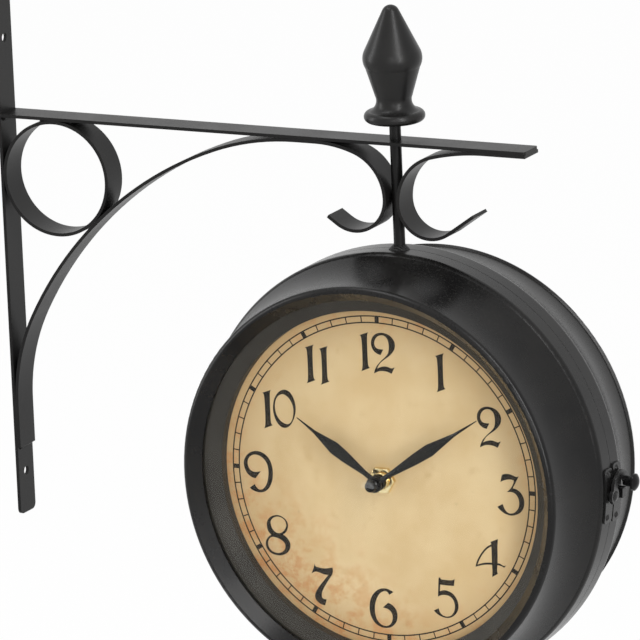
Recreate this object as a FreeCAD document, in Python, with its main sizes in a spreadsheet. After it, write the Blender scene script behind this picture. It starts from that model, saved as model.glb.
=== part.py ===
import FreeCAD, Part
import math
import os
import Sketcher
from types import SimpleNamespace
from FreeCAD import Placement, Rotation, Vector

# Double sided station clock on a scrolled wall bracket.
# Frame: millimetres, +Z up, +X away from the wall, the fixed dial faces -Y. The origin is on
# the wall face of the wall bar, midway between its two screw holes.
# The clock is made of two like halves that meet at an upright seam plane. The front half hangs
# on the bracket's rod, the rear half is a door on a pinned hinge, held shut by a swing latch.

# ---------------------------------------------------------------- driving sizes, mm and degrees
SIZES = {
    # flat strip that the bracket is bent from
    "strip_width": 15.0,
    "strip_gauge": 1.6,
    # wall bar
    "bar_length": 262.0,
    "bar_corner": 3.0,
    "screw_spacing": 220.0,
    "screw_hole": 4.5,
    # arm, measured from the wall bar
    "arm_height": 73.0,
    "arm_reach": 284.4,
    "arm_corner": 1.5,
    "rod_to_end": 72.0,
    # ring in the corner
    "ring_radius": 29.0,
    # brace: foot on the wall bar, then three tangent bends up to the arm
    "foot_length": 22.0,
    "brace_low_bend": 98.5,
    "brace_high_bend": 130.0,
    "brace_low_turn": 28.0,
    "brace_mid_turn": 42.0,
    # scrolls each side of the rod
    "left_lead_bend": 60.0,
    "left_lead_turn": 20.0,
    "left_side_bend": 24.0,
    "left_tail": 6.0,
    "right_lead_bend": 110.0,
    "right_lead_turn": 15.0,
    "right_side_bend": 24.5,
    "right_tail": 17.0,
    "hook_bend": 16.5,
    "hook_turn": 125.0,
    # rod and finial
    "rod_diameter": 5.6,
    "rod_in_finial": 24.0,
    "rod_lift": 0.3,
    "finial_gap": 9.0,
    "finial_height": 57.0,
    "finial_radius": 14.4,
    "finial_waist": 9.0,
    "finial_foot_radius": 14.8,
    "finial_foot_height": 5.4,
    "finial_tip": 4.4,
    "finial_belly_height": 31.0,
    "finial_belly_bend": 9.0,
    "finial_belly_below": 4.5,
    "finial_belly_above": 4.0,
    "finial_tip_angle": 26.0,
    "finial_waist_height": 12.6,
    "weld_bead": 2.4,
    "weld_near": 3.5,
    "weld_far": 8.5,
    # case half
    "clock_drop": 162.0,
    "seam_gap": 0.3,
    "seam_offset": 1.0,
    "case_radius": 108.0,
    "case_wall": 1.2,
    "band_width": 8.5,
    "shoulder_bend": 4.0,
    "shoulder_turn": 50.0,
    "cove_bend": 68.0,
    "cove_fall": 9.4,
    "lip_flare": 0.9,
    "lip_width": 7.8,
    "lip_depth": 47.5,
    "lip_bend": 3.0,
    "lip_seat_fall": 7.4,
    "lip_tuck": 1.4,
    # glass, inner bezel and dial
    "glass_gauge": 1.5,
    "glass_rise": 6.8,
    "glass_play": 0.1,
    "edge_play": 0.4,
    "bezel_gauge": 1.0,
    "bezel_slope": 6.9,
    "bezel_neck_depth": 5.2,
    "dial_fall": 18.9,
    "dial_gauge": 2.0,
    "dial_play": 0.6,
    "retainer_gauge": 1.2,
    "retainer_width": 9.0,
    # movement
    "movement_side": 56.0,
    "movement_depth": 15.5,
    "movement_corner": 3.0,
    "socket_depth": 5.2,
    "socket_end_gap": 0.5,
    "washer_radius": 10.0,
    "washer_gauge": 0.8,
    "bushing_radius": 4.0,
    "bushing_height": 4.6,
    "hour_tube_radius": 2.6,
    "minute_arbor_radius": 1.6,
    "running_play": 0.05,
    "nut_flats": 12.0,
    "nut_height": 2.6,
    "battery_radius": 7.1,
    "battery_length": 49.5,
    "battery_play": 0.3,
    "battery_tip_radius": 2.75,
    "battery_tip_length": 1.0,
    "battery_offset": 18.0,
    "knob_offset": 9.0,
    "knob_radius": 6.0,
    "knob_height": 3.2,
    "knob_stem": 1.5,
    # hands
    "hour_length": 51.0,
    "minute_length": 66.5,
    "hour_width": 6.8,
    "minute_width": 6.2,
    "hand_ridge": 0.9,
    "hand_gauge": 0.5,
    "hand_hub_radius": 4.0,
    "hour_height": 6.6,
    "minute_height": 9.2,
    "cap_radius": 2.9,
    "cap_length": 6.2,
    "cap_thread": 2.2,
    "collet_wall": 0.8,
    "collet_height": 0.8,
    "minute_angle": 57.0,
    "hour_angle": 304.75,
    # hinge
    "hinge_half_height": 12.0,
    "leaf_width": 8.0,
    "leaf_gauge": 1.0,
    "knuckle_radius": 2.4,
    "pin_radius": 1.1,
    "hinge_play": 0.3,
    "rivet_radius": 1.0,
    "rivet_head_radius": 1.7,
    "rivet_head_height": 0.9,
    "rivet_tail_height": 0.5,
    "hinge_rivet_angle": 4.25,
    "hinge_rivet_inset": 5.4,
    "knuckle_half_height": 4.0,
    # latch
    "latch_lean": 2.7,
    "plate_half_height": 13.5,
    "plate_width": 8.6,
    "plate_corner": 2.0,
    "plate_rivet_angle": 5.6,
    "plate_rivet_inset": 5.4,
    "catch_half_height": 14.5,
    "catch_width": 8.8,
    "catch_rivet_angle": 6.2,
    "catch_rivet_inset": 4.9,
    "catch_near": 3.2,
    "catch_far": 7.0,
    "catch_half_rise": 2.5,
    "catch_rise": 3.2,
    "catch_wall": 0.9,
    "pivot_inset": 3.4,
    "pivot_radius": 1.5,
    "lever_gauge": 1.5,
    "lever_play": 0.2,
    "lever_bend": 6.6,
    "lever_width": 4.4,
    "lever_centre_along": 3.3,
    "lever_centre_up": 2.6,
    "lever_open_angle": 14.0,
    "lever_hub_angle": 201.2,
    "lever_hub_radius": 4.0,
    "lever_end_radius": 2.3,
    "latch_knob_radius": 4.2,
    "latch_knob_neck": 2.6,
    "latch_knob_neck_height": 2.2,
    "latch_knob_height": 6.0,
}

PARTS_FOLDER = "parts"
SHEET = "Sizes"


# ---------------------------------------------------------------- sizes that stay tied to the sheet
class Size:
    """A number together with the expression that keeps it tied to the sheet."""

    def __init__(self, value, text):
        self.value = value
        self.text = text

    def __add__(self, other):
        other = as_size(other)
        return Size(self.value + other.value, f"({self.text} + {other.text})")

    def __sub__(self, other):
        other = as_size(other)
        return Size(self.value - other.value, f"({self.text} - {other.text})")

    def __mul__(self, other):
        other = as_size(other)
        return Size(self.value * other.value, f"({self.text} * {other.text})")

    def __truediv__(self, other):
        other = as_size(other)
        return Size(self.value / other.value, f"({self.text} / {other.text})")

    def __radd__(self, other):
        return as_size(other) + self

    def __rsub__(self, other):
        return as_size(other) - self

    def __rmul__(self, other):
        return as_size(other) * self

    def __neg__(self):
        return Size(-self.value, f"(0 - {self.text})")


def as_size(number):
    return number if isinstance(number, Size) else Size(float(number), repr(float(number)))


def sine(angle):
    return Size(math.sin(math.radians(angle.value)), f"sin({angle.text})")


def cosine(angle):
    return Size(math.cos(math.radians(angle.value)), f"cos({angle.text})")


def root(number):
    return Size(math.sqrt(number.value), f"sqrt({number.text})")


doc = FreeCAD.newDocument("station_clock")
sheet = doc.addObject("Spreadsheet::Sheet", SHEET)
S = SimpleNamespace()


def add_row(alias, content, value):
    """Write one cell with its alias and keep it as S.alias."""
    row = len(vars(S)) + 1
    sheet.set(f"A{row}", alias)
    sheet.set(f"B{row}", content)
    sheet.setAlias(f"B{row}", alias)
    setattr(S, alias, Size(value, f"{SHEET}.{alias}"))


def derive(alias, size):
    """Add a size that is worked out from the others."""
    add_row(alias, "=" + size.text.replace(f"{SHEET}.", ""), size.value)
    return getattr(S, alias)


for alias, number in SIZES.items():
    add_row(alias, repr(number), number)


# ---------------------------------------------------------------- drawing and feature helpers
def bind(thing, path, size):
    """Tie a property to the sheet, or set it where it is a plain number."""
    if isinstance(size, Size):
        thing.setExpression(path, size.text)


def new_body(name):
    body = doc.addObject("PartDesign::Body", name)
    body.Label = name
    return body


def sketch_on(body, role, offset=None):
    """A sketch on one of the body's own origin planes, lifted along that plane's normal."""
    plane = next(item for item in body.Origin.OriginFeatures if item.Role == role)
    sketch = body.newObject("Sketcher::SketchObject", body.Name + "_sketch")
    sketch.AttachmentSupport = [(plane, "")]
    sketch.MapMode = "FlatFace"
    if offset is not None:
        offset = as_size(offset)
        sketch.AttachmentOffset = Placement(Vector(0, 0, offset.value), Rotation())
        bind(sketch, "AttachmentOffset.Base.z", offset)
    return sketch


def constrain(sketch, kind, *arguments, size):
    index = sketch.addConstraint(Sketcher.Constraint(kind, *arguments, size.value))
    bind(sketch, f"Constraints[{index}]", size)


def arc_between(start, end, radius):
    """The short arc from start to end; a positive radius bends to the left."""
    chord = end - start
    middle = (start + end) * 0.5
    side = 1.0 if radius > 0 else -1.0
    rise = math.sqrt(max(radius * radius - chord.Length ** 2 / 4.0, 0.0))
    normal = Vector(-chord.y, chord.x, 0).normalize()
    centre = middle + normal * (rise * side)
    first, last = (start, end) if radius > 0 else (end, start)
    angles = [math.atan2(point.y - centre.y, point.x - centre.x) for point in (first, last)]
    circle = Part.Circle(centre, Vector(0, 0, 1), abs(radius))
    return Part.ArcOfCircle(circle, *angles)


def outline(sketch, corners, closed=True):
    """Join corners (x, y) or (x, y, bend) by lines, or by an arc of radius bend to the next."""
    corners = [tuple(as_size(number) for number in corner) for corner in corners]
    points = [Vector(corner[0].value, corner[1].value, 0) for corner in corners]
    count = len(corners) if closed else len(corners) - 1
    ends = []
    for number in range(count):
        start = points[number]
        end = points[(number + 1) % len(points)]
        if len(corners[number]) == 3:
            bend = corners[number][2]
            index = sketch.addGeometry(arc_between(start, end, bend.value))
            size = bend if bend.value > 0 else -bend
            constrain(sketch, "Radius", index, size=size)
            ends.append((index, 1, 2) if bend.value > 0 else (index, 2, 1))
        else:
            index = sketch.addGeometry(Part.LineSegment(start, end))
            ends.append((index, 1, 2))
    for number in range(count if closed else count - 1):
        index, _, finish = ends[number]
        following, begin, _ = ends[(number + 1) % count]
        sketch.addConstraint(Sketcher.Constraint("Coincident", index, finish, following, begin))
    for number, corner in enumerate(corners):
        index, begin, finish = ends[min(number, count - 1)]
        vertex = begin if number < count else finish
        constrain(sketch, "DistanceX", -1, 1, index, vertex, size=corner[0])
        constrain(sketch, "DistanceY", -1, 1, index, vertex, size=corner[1])


def ring(sketch, x, y, radius):
    """A full circle in a sketch."""
    x, y, radius = as_size(x), as_size(y), as_size(radius)
    centre = Vector(x.value, y.value, 0)
    index = sketch.addGeometry(Part.Circle(centre, Vector(0, 0, 1), radius.value))
    constrain(sketch, "DistanceX", -1, 1, index, 3, size=x)
    constrain(sketch, "DistanceY", -1, 1, index, 3, size=y)
    constrain(sketch, "Radius", index, size=radius)


def rectangle(sketch, left, low, right, high):
    outline(sketch, [(left, low), (right, low), (right, high), (left, high)])


def pad(body, sketch, length, both_ways=False, backwards=False):
    feature = body.newObject("PartDesign::Pad", body.Name + "_pad")
    feature.Profile = sketch
    feature.Length = as_size(length).value
    bind(feature, "Length", length)
    feature.Midplane = both_ways
    feature.Reversed = backwards
    body.Tip = feature
    return feature


def pocket(body, sketch, depth=None, both_ways=False, backwards=False):
    """Cut a sketch into the body, through everything where no depth is given."""
    doc.recompute()
    before = body.Shape.Volume
    feature = body.newObject("PartDesign::Pocket", body.Name + "_pocket")
    feature.Profile = sketch
    if depth is None:
        feature.Type = "ThroughAll"
    else:
        feature.Length = as_size(depth).value
        bind(feature, "Length", depth)
    feature.Midplane = both_ways
    feature.Reversed = backwards
    body.Tip = feature
    doc.recompute()
    if body.Shape.Volume >= before:
        raise RuntimeError(f"{body.Label}: a pocket cuts nothing")
    return feature


def revolve(body, sketch, turn=None):
    """Spin a sketch about its upright axis, all round or by a turn centred on the sketch."""
    feature = body.newObject("PartDesign::Revolution", body.Name + "_revolution")
    feature.Profile = sketch
    feature.ReferenceAxis = (sketch, ["V_Axis"])
    if turn is None:
        feature.Angle = 360.0
    else:
        feature.Angle = turn.value
        bind(feature, "Angle", turn)
        feature.Midplane = True
    body.Tip = feature
    return feature


def round_edges(body, radius, wanted):
    """Fillet the edges of the body that the test picks."""
    doc.recompute()
    names = [f"Edge{number}" for number, edge in enumerate(body.Shape.Edges, 1) if wanted(edge)]
    if not names:
        raise RuntimeError(f"{body.Label}: no edge to round")
    base = body.Tip
    feature = body.newObject("PartDesign::Fillet", body.Name + "_fillet")
    feature.Base = (base, names)
    feature.Radius = as_size(radius).value
    bind(feature, "Radius", radius)
    body.Tip = feature
    return feature


def place(thing, base, rotation=None):
    """Put a thing at three sizes, turned by a rotation."""
    base = [as_size(number) for number in base]
    thing.Placement = Placement(Vector(*[number.value for number in base]), rotation or Rotation())
    for axis, number in zip("xyz", base):
        bind(thing, f"Placement.Base.{axis}", number)
    return thing


def cylinder(name, radius, height):
    thing = doc.addObject("Part::Cylinder", name)
    thing.Label = name
    for key, size in (("Radius", radius), ("Height", height)):
        setattr(thing, key, as_size(size).value)
        bind(thing, key, size)
    return thing


def box(name, length, width, height):
    thing = doc.addObject("Part::Box", name)
    thing.Label = name
    for key, size in (("Length", length), ("Width", width), ("Height", height)):
        setattr(thing, key, as_size(size).value)
        bind(thing, key, size)
    return thing


def cone(name, low_radius, high_radius, height):
    thing = doc.addObject("Part::Cone", name)
    thing.Label = name
    for key, size in (("Radius1", low_radius), ("Radius2", high_radius), ("Height", height)):
        setattr(thing, key, as_size(size).value)
        bind(thing, key, size)
    return thing


def join(name, things):
    """Fuse things into one solid."""
    thing = doc.addObject("Part::MultiFuse", name)
    thing.Label = name
    thing.Shapes = things
    thing.Refine = True
    return thing


def group(name, things):
    """Keep like pieces together as separate solids."""
    thing = doc.addObject("Part::Compound", name)
    thing.Label = name
    thing.Links = things
    return thing


def cut(name, base, tool):
    thing = doc.addObject("Part::Cut", name)
    thing.Label = name
    thing.Base = base
    thing.Tool = tool
    return thing


def tube(name, radius, bore, height):
    """A plain ring or sleeve along Z."""
    core = place(cylinder(name + "_bore", bore, height + 2.0), (0, 0, -1))
    return cut(name, cylinder(name + "_blank", radius, height), core)


nodes = []


def keep(*things):
    """Note the finished sub-parts, each written to a file of its own."""
    nodes.extend(things)
    return things[0]


# ---------------------------------------------------------------- places worked out from the sizes
half_gauge = S.strip_gauge / 2
rod_radius = S.rod_diameter / 2
rod_x = derive("rod_x", S.strip_gauge + S.arm_reach - S.rod_to_end)
arm_under = derive("arm_under", S.arm_height - S.strip_gauge)
clock_z = derive("clock_z", S.arm_height - S.clock_drop)
clock_centre = (rod_x, S.seam_offset, clock_z)


# ---------------------------------------------------------------- wall bar, arm and corner ring
def wall_bar():
    """Upright strip that the whole clock hangs from, with a screw hole near each end."""
    body = new_body("wall_bar")
    face = sketch_on(body, "YZ_Plane")
    half_width = S.strip_width / 2
    half_length = S.bar_length / 2
    rectangle(face, -half_width, -half_length, half_width, half_length)
    pad(body, face, S.strip_gauge)
    round_edges(body, S.bar_corner, along_x)
    holes = sketch_on(body, "YZ_Plane")
    for side in (-1, 1):
        ring(holes, 0, side * S.screw_spacing / 2, S.screw_hole / 2)
    pocket(body, holes, backwards=True)
    return keep(body)


def along_x(edge):
    return edge.Curve.TypeId == "Part::GeomLine" and abs(edge.tangentAt(0).x) > 0.9


def along_z(edge):
    return edge.Curve.TypeId == "Part::GeomLine" and abs(edge.tangentAt(0).z) > 0.9


def arm_bar():
    """Level strip butted against the wall bar, with a hole that the rod drops through."""
    body = new_body("arm_bar")
    face = sketch_on(body, "XY_Plane", arm_under)
    half_width = S.strip_width / 2
    rectangle(face, S.strip_gauge, -half_width, S.strip_gauge + S.arm_reach, half_width)
    pad(body, face, S.strip_gauge)
    hole = sketch_on(body, "XY_Plane", arm_under)
    ring(hole, rod_x, 0, rod_radius + S.running_play)
    pocket(body, hole, backwards=True)
    far_end = S.strip_gauge.value + S.arm_reach.value
    round_edges(body, S.arm_corner, lambda edge: along_z(edge) and edge.Vertexes[0].X > far_end - 0.1)
    return keep(body)


def corner_ring():
    """Strip rolled into a ring that fills the corner under the arm."""
    body = new_body("corner_ring")
    face = sketch_on(body, "XZ_Plane")
    centre = (S.strip_gauge + S.ring_radius, arm_under - S.ring_radius)
    ring(face, *centre, S.ring_radius)
    ring(face, *centre, S.ring_radius - S.strip_gauge)
    pad(body, face, S.strip_width, both_ways=True)
    return keep(body)


# ---------------------------------------------------------------- bent strips
class Bend:
    """Walks along a bent strip and notes its corners: lengths ahead, then turns to one side."""

    def __init__(self, x, z, heading, side):
        self.corners = []
        self.x, self.z = as_size(x), as_size(z)
        self.heading = as_size(heading)
        self.side = side

    def ahead(self, length):
        self.corners.append((self.x, self.z))
        self.x = self.x + length * cosine(self.heading)
        self.z = self.z + length * sine(self.heading)

    def turn(self, radius, angle):
        self.corners.append((self.x, self.z, radius * self.side))
        after = self.heading + angle * self.side
        self.x = self.x + radius * self.side * (sine(after) - sine(self.heading))
        self.z = self.z - radius * self.side * (cosine(after) - cosine(self.heading))
        self.heading = after

    def path(self):
        return self.corners + [(self.x, self.z)]


def bent_strip(name, bend, role, start, across):
    """Sweep the strip's section along a bent path in the upright plane of the bracket."""
    body = new_body(name)
    spine = sketch_on(body, "XZ_Plane")
    outline(spine, bend.path(), closed=False)
    section = sketch_on(body, role, start)
    half_width = S.strip_width / 2
    if role == "XY_Plane":
        rectangle(section, across - half_gauge, -half_width, across + half_gauge, half_width)
    else:
        rectangle(section, -half_width, across - half_gauge, half_width, across + half_gauge)
    sweep = body.newObject("PartDesign::AdditivePipe", name + "_sweep")
    sweep.Profile = section
    sweep.Spine = spine
    body.Tip = sweep
    return keep(body)


def brace_middle_bend():
    """Radius and foot height of the brace, so that it touches both the ring and the arm."""
    low_turn = S.brace_low_turn
    high_turn = S.brace_low_turn + S.brace_mid_turn
    ring_z = arm_under - S.ring_radius
    reach = S.ring_radius + half_gauge
    across = derive("brace_across", half_gauge - S.ring_radius
                    + S.brace_low_bend * (1 - cosine(low_turn)))
    top = derive("brace_top", arm_under - half_gauge - S.brace_low_bend * sine(low_turn)
                 - S.brace_high_bend * (1 - sine(high_turn)))
    up = derive("brace_up", top + S.brace_low_bend * sine(low_turn) - ring_z)
    square = derive("brace_square", cosine(low_turn) * cosine(low_turn)
                    + sine(high_turn) * sine(high_turn) - 1)
    linear = derive("brace_linear", across * cosine(low_turn) - up * sine(high_turn) - reach)
    rest = derive("brace_rest", across * across + up * up - reach * reach)
    middle = derive("brace_mid_bend",
                    (-linear + root(linear * linear - square * rest)) / square)
    start = derive("brace_start", top - middle * (sine(high_turn) - sine(low_turn)))
    return middle, start


def brace_scroll():
    """One strip: foot on the wall bar, arch past the ring, run under the arm, scroll at the rod."""
    middle, start = brace_middle_bend()
    foot_x = derive("foot_x", S.strip_gauge + half_gauge)
    foot_z = derive("foot_z", start - S.foot_length)
    scroll_x = derive("left_scroll_x", rod_x - rod_radius - half_gauge
                      - S.left_side_bend * (1 - sine(S.left_lead_turn))
                      - S.left_lead_bend * sine(S.left_lead_turn))
    bend = Bend(foot_x, foot_z, 90, -1)
    bend.ahead(S.foot_length)
    bend.turn(S.brace_low_bend, S.brace_low_turn)
    bend.turn(middle, S.brace_mid_turn)
    bend.turn(S.brace_high_bend, 90 - S.brace_low_turn - S.brace_mid_turn)
    bend.ahead(derive("brace_run", scroll_x - bend.x))
    bend.turn(S.left_lead_bend, S.left_lead_turn)
    bend.turn(S.left_side_bend, 90 - S.left_lead_turn)
    bend.turn(S.hook_bend, S.hook_turn)
    bend.ahead(S.left_tail)
    return bent_strip("brace_scroll", bend, "XY_Plane", foot_z, foot_x)


def end_scroll():
    """Short strip under the arm's end, curled back to the other side of the rod."""
    arm_end = derive("arm_end", S.strip_gauge + S.arm_reach)
    scroll_x = derive("right_scroll_x", rod_x + rod_radius + half_gauge
                      + S.right_side_bend * (1 - sine(S.right_lead_turn))
                      + S.right_lead_bend * sine(S.right_lead_turn))
    level = derive("strip_under_arm", arm_under - half_gauge)
    bend = Bend(arm_end, level, 180, 1)
    bend.ahead(derive("end_run", arm_end - scroll_x))
    bend.turn(S.right_lead_bend, S.right_lead_turn)
    bend.turn(S.right_side_bend, 90 - S.right_lead_turn)
    bend.turn(S.hook_bend, S.hook_turn)
    bend.ahead(S.right_tail)
    return bent_strip("end_scroll", bend, "YZ_Plane", arm_end, level)


# ---------------------------------------------------------------- rod and finial
case_top = derive("case_top", clock_z + S.case_radius)
finial_foot = derive("finial_foot", S.arm_height + S.finial_gap)


def hanger_rod():
    """Round rod from the finial, down through the arm, to just above the case."""
    rod_end = derive("rod_end", case_top + S.rod_lift)
    height = finial_foot + S.rod_in_finial - rod_end
    return keep(place(cylinder("hanger_rod", rod_radius, height), (rod_x, 0, rod_end)))


def finial():
    """Turned spear finial: domed tip, straight taper, round belly, waist and moulded foot."""
    body = new_body("finial")
    profile = sketch_on(body, "XZ_Plane")
    bore = rod_radius + S.running_play
    foot_bend = S.finial_foot_height / 2
    # the belly's arc bulges to its full radius between its two ends
    bend, below, above = S.finial_belly_bend, S.finial_belly_below, S.finial_belly_above
    low_r = S.finial_radius - bend + root(bend * bend - below * below)
    high_r = S.finial_radius - bend + root(bend * bend - above * above)
    tip_z = S.finial_height - S.finial_tip
    tip_from = S.finial_tip_angle
    outline(profile, [
        (bore, 0),
        (S.finial_foot_radius - foot_bend, 0, foot_bend),
        (S.finial_foot_radius, foot_bend, foot_bend),
        (S.finial_foot_radius - foot_bend, S.finial_foot_height, -S.finial_foot_height),
        (S.finial_waist, S.finial_waist_height),
        (low_r, S.finial_belly_height - below, bend),
        (high_r, S.finial_belly_height + above),
        (S.finial_tip * cosine(tip_from), tip_z + S.finial_tip * sine(tip_from), S.finial_tip),
        (0, S.finial_height),
        (0, S.rod_in_finial),
        (bore, S.rod_in_finial),
    ])
    revolve(body, profile)
    place(body, (rod_x, 0, finial_foot))
    return keep(body)


def weld_fillet(name, corners):
    """A short run of weld with the given section, as long as most of the strip's width."""
    body = new_body("weld_" + name)
    section = sketch_on(body, "XZ_Plane")
    outline(section, corners)
    pad(body, section, S.strip_width * 0.7, both_ways=True)
    return body


def bracket_welds():
    """Weld runs at the arm's root, at the brace's foot and each side of the ring's two seats."""
    welds = [
        weld_fillet("arm_root", [
            (S.strip_gauge, arm_under),
            (S.strip_gauge, arm_under - S.weld_bead),
            (S.strip_gauge + S.weld_bead, arm_under),
        ]),
        weld_fillet("brace_foot", [
            (S.strip_gauge, S.foot_z),
            (S.strip_gauge, S.foot_z - S.strip_gauge),
            (S.strip_gauge * 2, S.foot_z),
        ]),
    ]
    ring_x = S.strip_gauge + S.ring_radius
    ring_z = arm_under - S.ring_radius
    reach = S.ring_radius
    near, far = (root(reach * reach - step * step) for step in (S.weld_near, S.weld_far))
    for number, side in enumerate((-1, 1), 1):
        welds.append(weld_fillet(f"ring_top_{number}", [
            (ring_x + side * S.weld_near, arm_under),
            (ring_x + side * S.weld_far, arm_under),
            (ring_x + side * S.weld_far, ring_z + far, side * reach),
            (ring_x + side * S.weld_near, ring_z + near),
        ]))
        welds.append(weld_fillet(f"ring_side_{number}", [
            (S.strip_gauge, ring_z + side * S.weld_near),
            (S.strip_gauge, ring_z + side * S.weld_far),
            (ring_x - far, ring_z + side * S.weld_far, side * reach),
            (ring_x - near, ring_z + side * S.weld_near),
        ]))
    return keep(group("bracket_welds", welds))


wall_bar()
arm_bar()
corner_ring()
brace_scroll()
end_scroll()
rod = hanger_rod()
finial()
bracket_welds()


# ---------------------------------------------------------------- case half, seen from its own dial
# Each half is drawn with Z pointing out of its own dial, Y up and X to the viewer's right,
# and is then turned to face -Y or +Y.
FACING = {
    "front": Rotation(Vector(1, 0, 0), 90),
    "rear": Rotation(Vector(0, 0, 1), 180).multiply(Rotation(Vector(1, 0, 0), 90)),
}
half_gap = S.seam_gap / 2
lip_seat = derive("lip_seat", S.lip_depth - S.lip_seat_fall)
dial_face = derive("dial_face", S.lip_depth - S.dial_fall)
shoulder_r = derive("shoulder_r", S.case_radius - S.shoulder_bend * (1 - cosine(S.shoulder_turn)))
shoulder_z = derive("shoulder_z", S.band_width + S.shoulder_bend * sine(S.shoulder_turn))
lip_root_r = derive("lip_root_r", S.case_radius - S.cove_fall)
lip_r = derive("lip_r", lip_root_r + S.lip_flare)
lip_inner_r = derive("lip_inner_r", lip_r - S.lip_width)
neck_r = derive("neck_r", lip_inner_r - S.bezel_slope)
root_z = derive("root_z", S.lip_depth - S.lip_bend - S.lip_flare)
inner_shoulder_r = derive("inner_shoulder_r", shoulder_r - S.case_wall * cosine(S.shoulder_turn))
inner_shoulder_z = derive("inner_shoulder_z", shoulder_z - S.case_wall * sine(S.shoulder_turn))
inner_root_r = derive("inner_root_r", lip_root_r - S.case_wall)
inner_cove_bend = derive("inner_cove_bend", S.cove_bend + S.case_wall)


def cove_circle():
    """Centre of the inner cove's arc, from its two ends and its radius."""
    run_r = inner_root_r - inner_shoulder_r
    run_z = root_z - inner_shoulder_z
    length = derive("cove_chord", root(run_r * run_r + run_z * run_z))
    rise = derive("cove_rise", root(inner_cove_bend * inner_cove_bend - length * length / 4))
    centre_r = derive("cove_r", (inner_root_r + inner_shoulder_r) / 2 + rise * run_z / length)
    centre_z = derive("cove_z", (root_z + inner_shoulder_z) / 2 - rise * run_r / length)
    return centre_r, centre_z


cove_r, cove_z = cove_circle()


def cove_wall_at(depth):
    """Inside radius of the case at a depth within the cove."""
    step = depth - cove_z
    return cove_r - root(inner_cove_bend * inner_cove_bend - step * step)


dial_back = derive("dial_back", dial_face - S.dial_gauge)
dial_r = derive("dial_r", cove_wall_at(dial_face) - S.dial_play)
glass_edge_r = derive("glass_edge_r", inner_root_r - S.edge_play)
glass_edge_z = derive("glass_edge_z", lip_seat - S.glass_play - S.glass_gauge)
bezel_top = derive("bezel_top", glass_edge_z - S.glass_play)
bezel_neck_top = derive("bezel_neck_top", dial_face + S.bezel_neck_depth)
movement_front = derive("movement_front", dial_back - S.washer_gauge)
movement_back = derive("movement_back", movement_front - S.movement_depth)
bushing_top = derive("bushing_top", dial_face + S.bushing_height)
hour_z = derive("hour_z", dial_face + S.hour_height)
minute_z = derive("minute_z", dial_face + S.minute_height)
tube_bore = derive("tube_bore", S.minute_arbor_radius + S.running_play)
bushing_bore = derive("bushing_bore", S.hour_tube_radius + S.running_play)
cap_foot = derive("cap_foot", minute_z + S.hand_ridge)
retainer_back = derive("retainer_back", dial_back - S.retainer_gauge)
retainer_inner = derive("retainer_inner", cove_wall_at(retainer_back) - S.retainer_width)
plate_edge = derive("plate_edge", S.hinge_play * 2)
hinge_axis = derive("hinge_axis", S.case_radius + S.knuckle_radius + S.hinge_play)
plate_top = derive("plate_top", S.case_radius + S.leaf_gauge)
lever_back = derive("lever_back", plate_top + S.rivet_head_height + S.lever_play)
lever_end = (
    derive("lever_end_along", S.lever_centre_along + S.lever_bend * cosine(S.lever_open_angle)),
    derive("lever_end_up", S.lever_centre_up + S.lever_bend * sine(S.lever_open_angle)),
)


def seat(thing, side, across=0, up=0, depth=0, spin=Rotation()):
    """Turn a piece of one half to its dial's side, at a place across, up and out of the seam."""
    way = 1 if side == "front" else -1
    base = (rod_x + way * as_size(across), S.seam_offset - way * as_size(depth), clock_z + up)
    return place(thing, base, FACING[side].multiply(spin))


def hinge_way(side):
    """Which way across the half its hinge lies, as seen from its own dial."""
    return -1 if side == "front" else 1


LEAN_WAY = {"front": -1, "rear": 1}


def lean(side):
    """The turn about the dial's axis that brings the latch a little below the clock's middle."""
    return Rotation(Vector(0, 0, 1), LEAN_WAY[side] * S.latch_lean.value)


def rivet_spots(side, leaning=True):
    """Rivets through a half's band: name, angle round the dial's axis and distance from seam."""
    hinge_at, latch_at = (180, 0) if side == "front" else (0, 180)
    if leaning:
        latch_at = latch_at + LEAN_WAY[side] * S.latch_lean
    latch_angle = S.plate_rivet_angle if side == "front" else S.catch_rivet_angle
    latch_inset = S.plate_rivet_inset if side == "front" else S.catch_rivet_inset
    spots = []
    for number, sign in enumerate((-1, 1), 1):
        spots.append((f"hinge_{number}", hinge_at + sign * S.hinge_rivet_angle,
                      S.hinge_rivet_inset))
        spots.append((f"latch_{number}", latch_at + sign * latch_angle, latch_inset))
    return spots


def stand_on_band(thing, angle, radius, depth):
    """Turn an upright piece to point outwards from the dial's axis at an angle round it."""
    outwards = Rotation(Vector(0, 0, 1), angle.value).multiply(Rotation(Vector(0, 1, 0), 90))
    return place(thing, (radius * cosine(angle), radius * sine(angle), depth), outwards)


def drills(side, name, places, leaning=True):
    """Round cutters through the band, for the rivets at the named places."""
    cutters = []
    for spot, angle, inset in rivet_spots(side, leaning):
        if spot.startswith(places):
            cutter = cylinder(f"{side}_{name}_{spot}", S.rivet_radius, S.case_wall * 6)
            cutters.append(stand_on_band(cutter, angle, S.case_radius - S.case_wall * 3, inset))
    return cutters


def pivot_drill(name, angle):
    """Round cutter for the lever's pivot, through the middle of the latch side."""
    cutter = cylinder(name, S.pivot_radius, S.case_wall * 6)
    return stand_on_band(cutter, as_size(angle), S.case_radius - S.case_wall * 3, S.pivot_inset)


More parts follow.
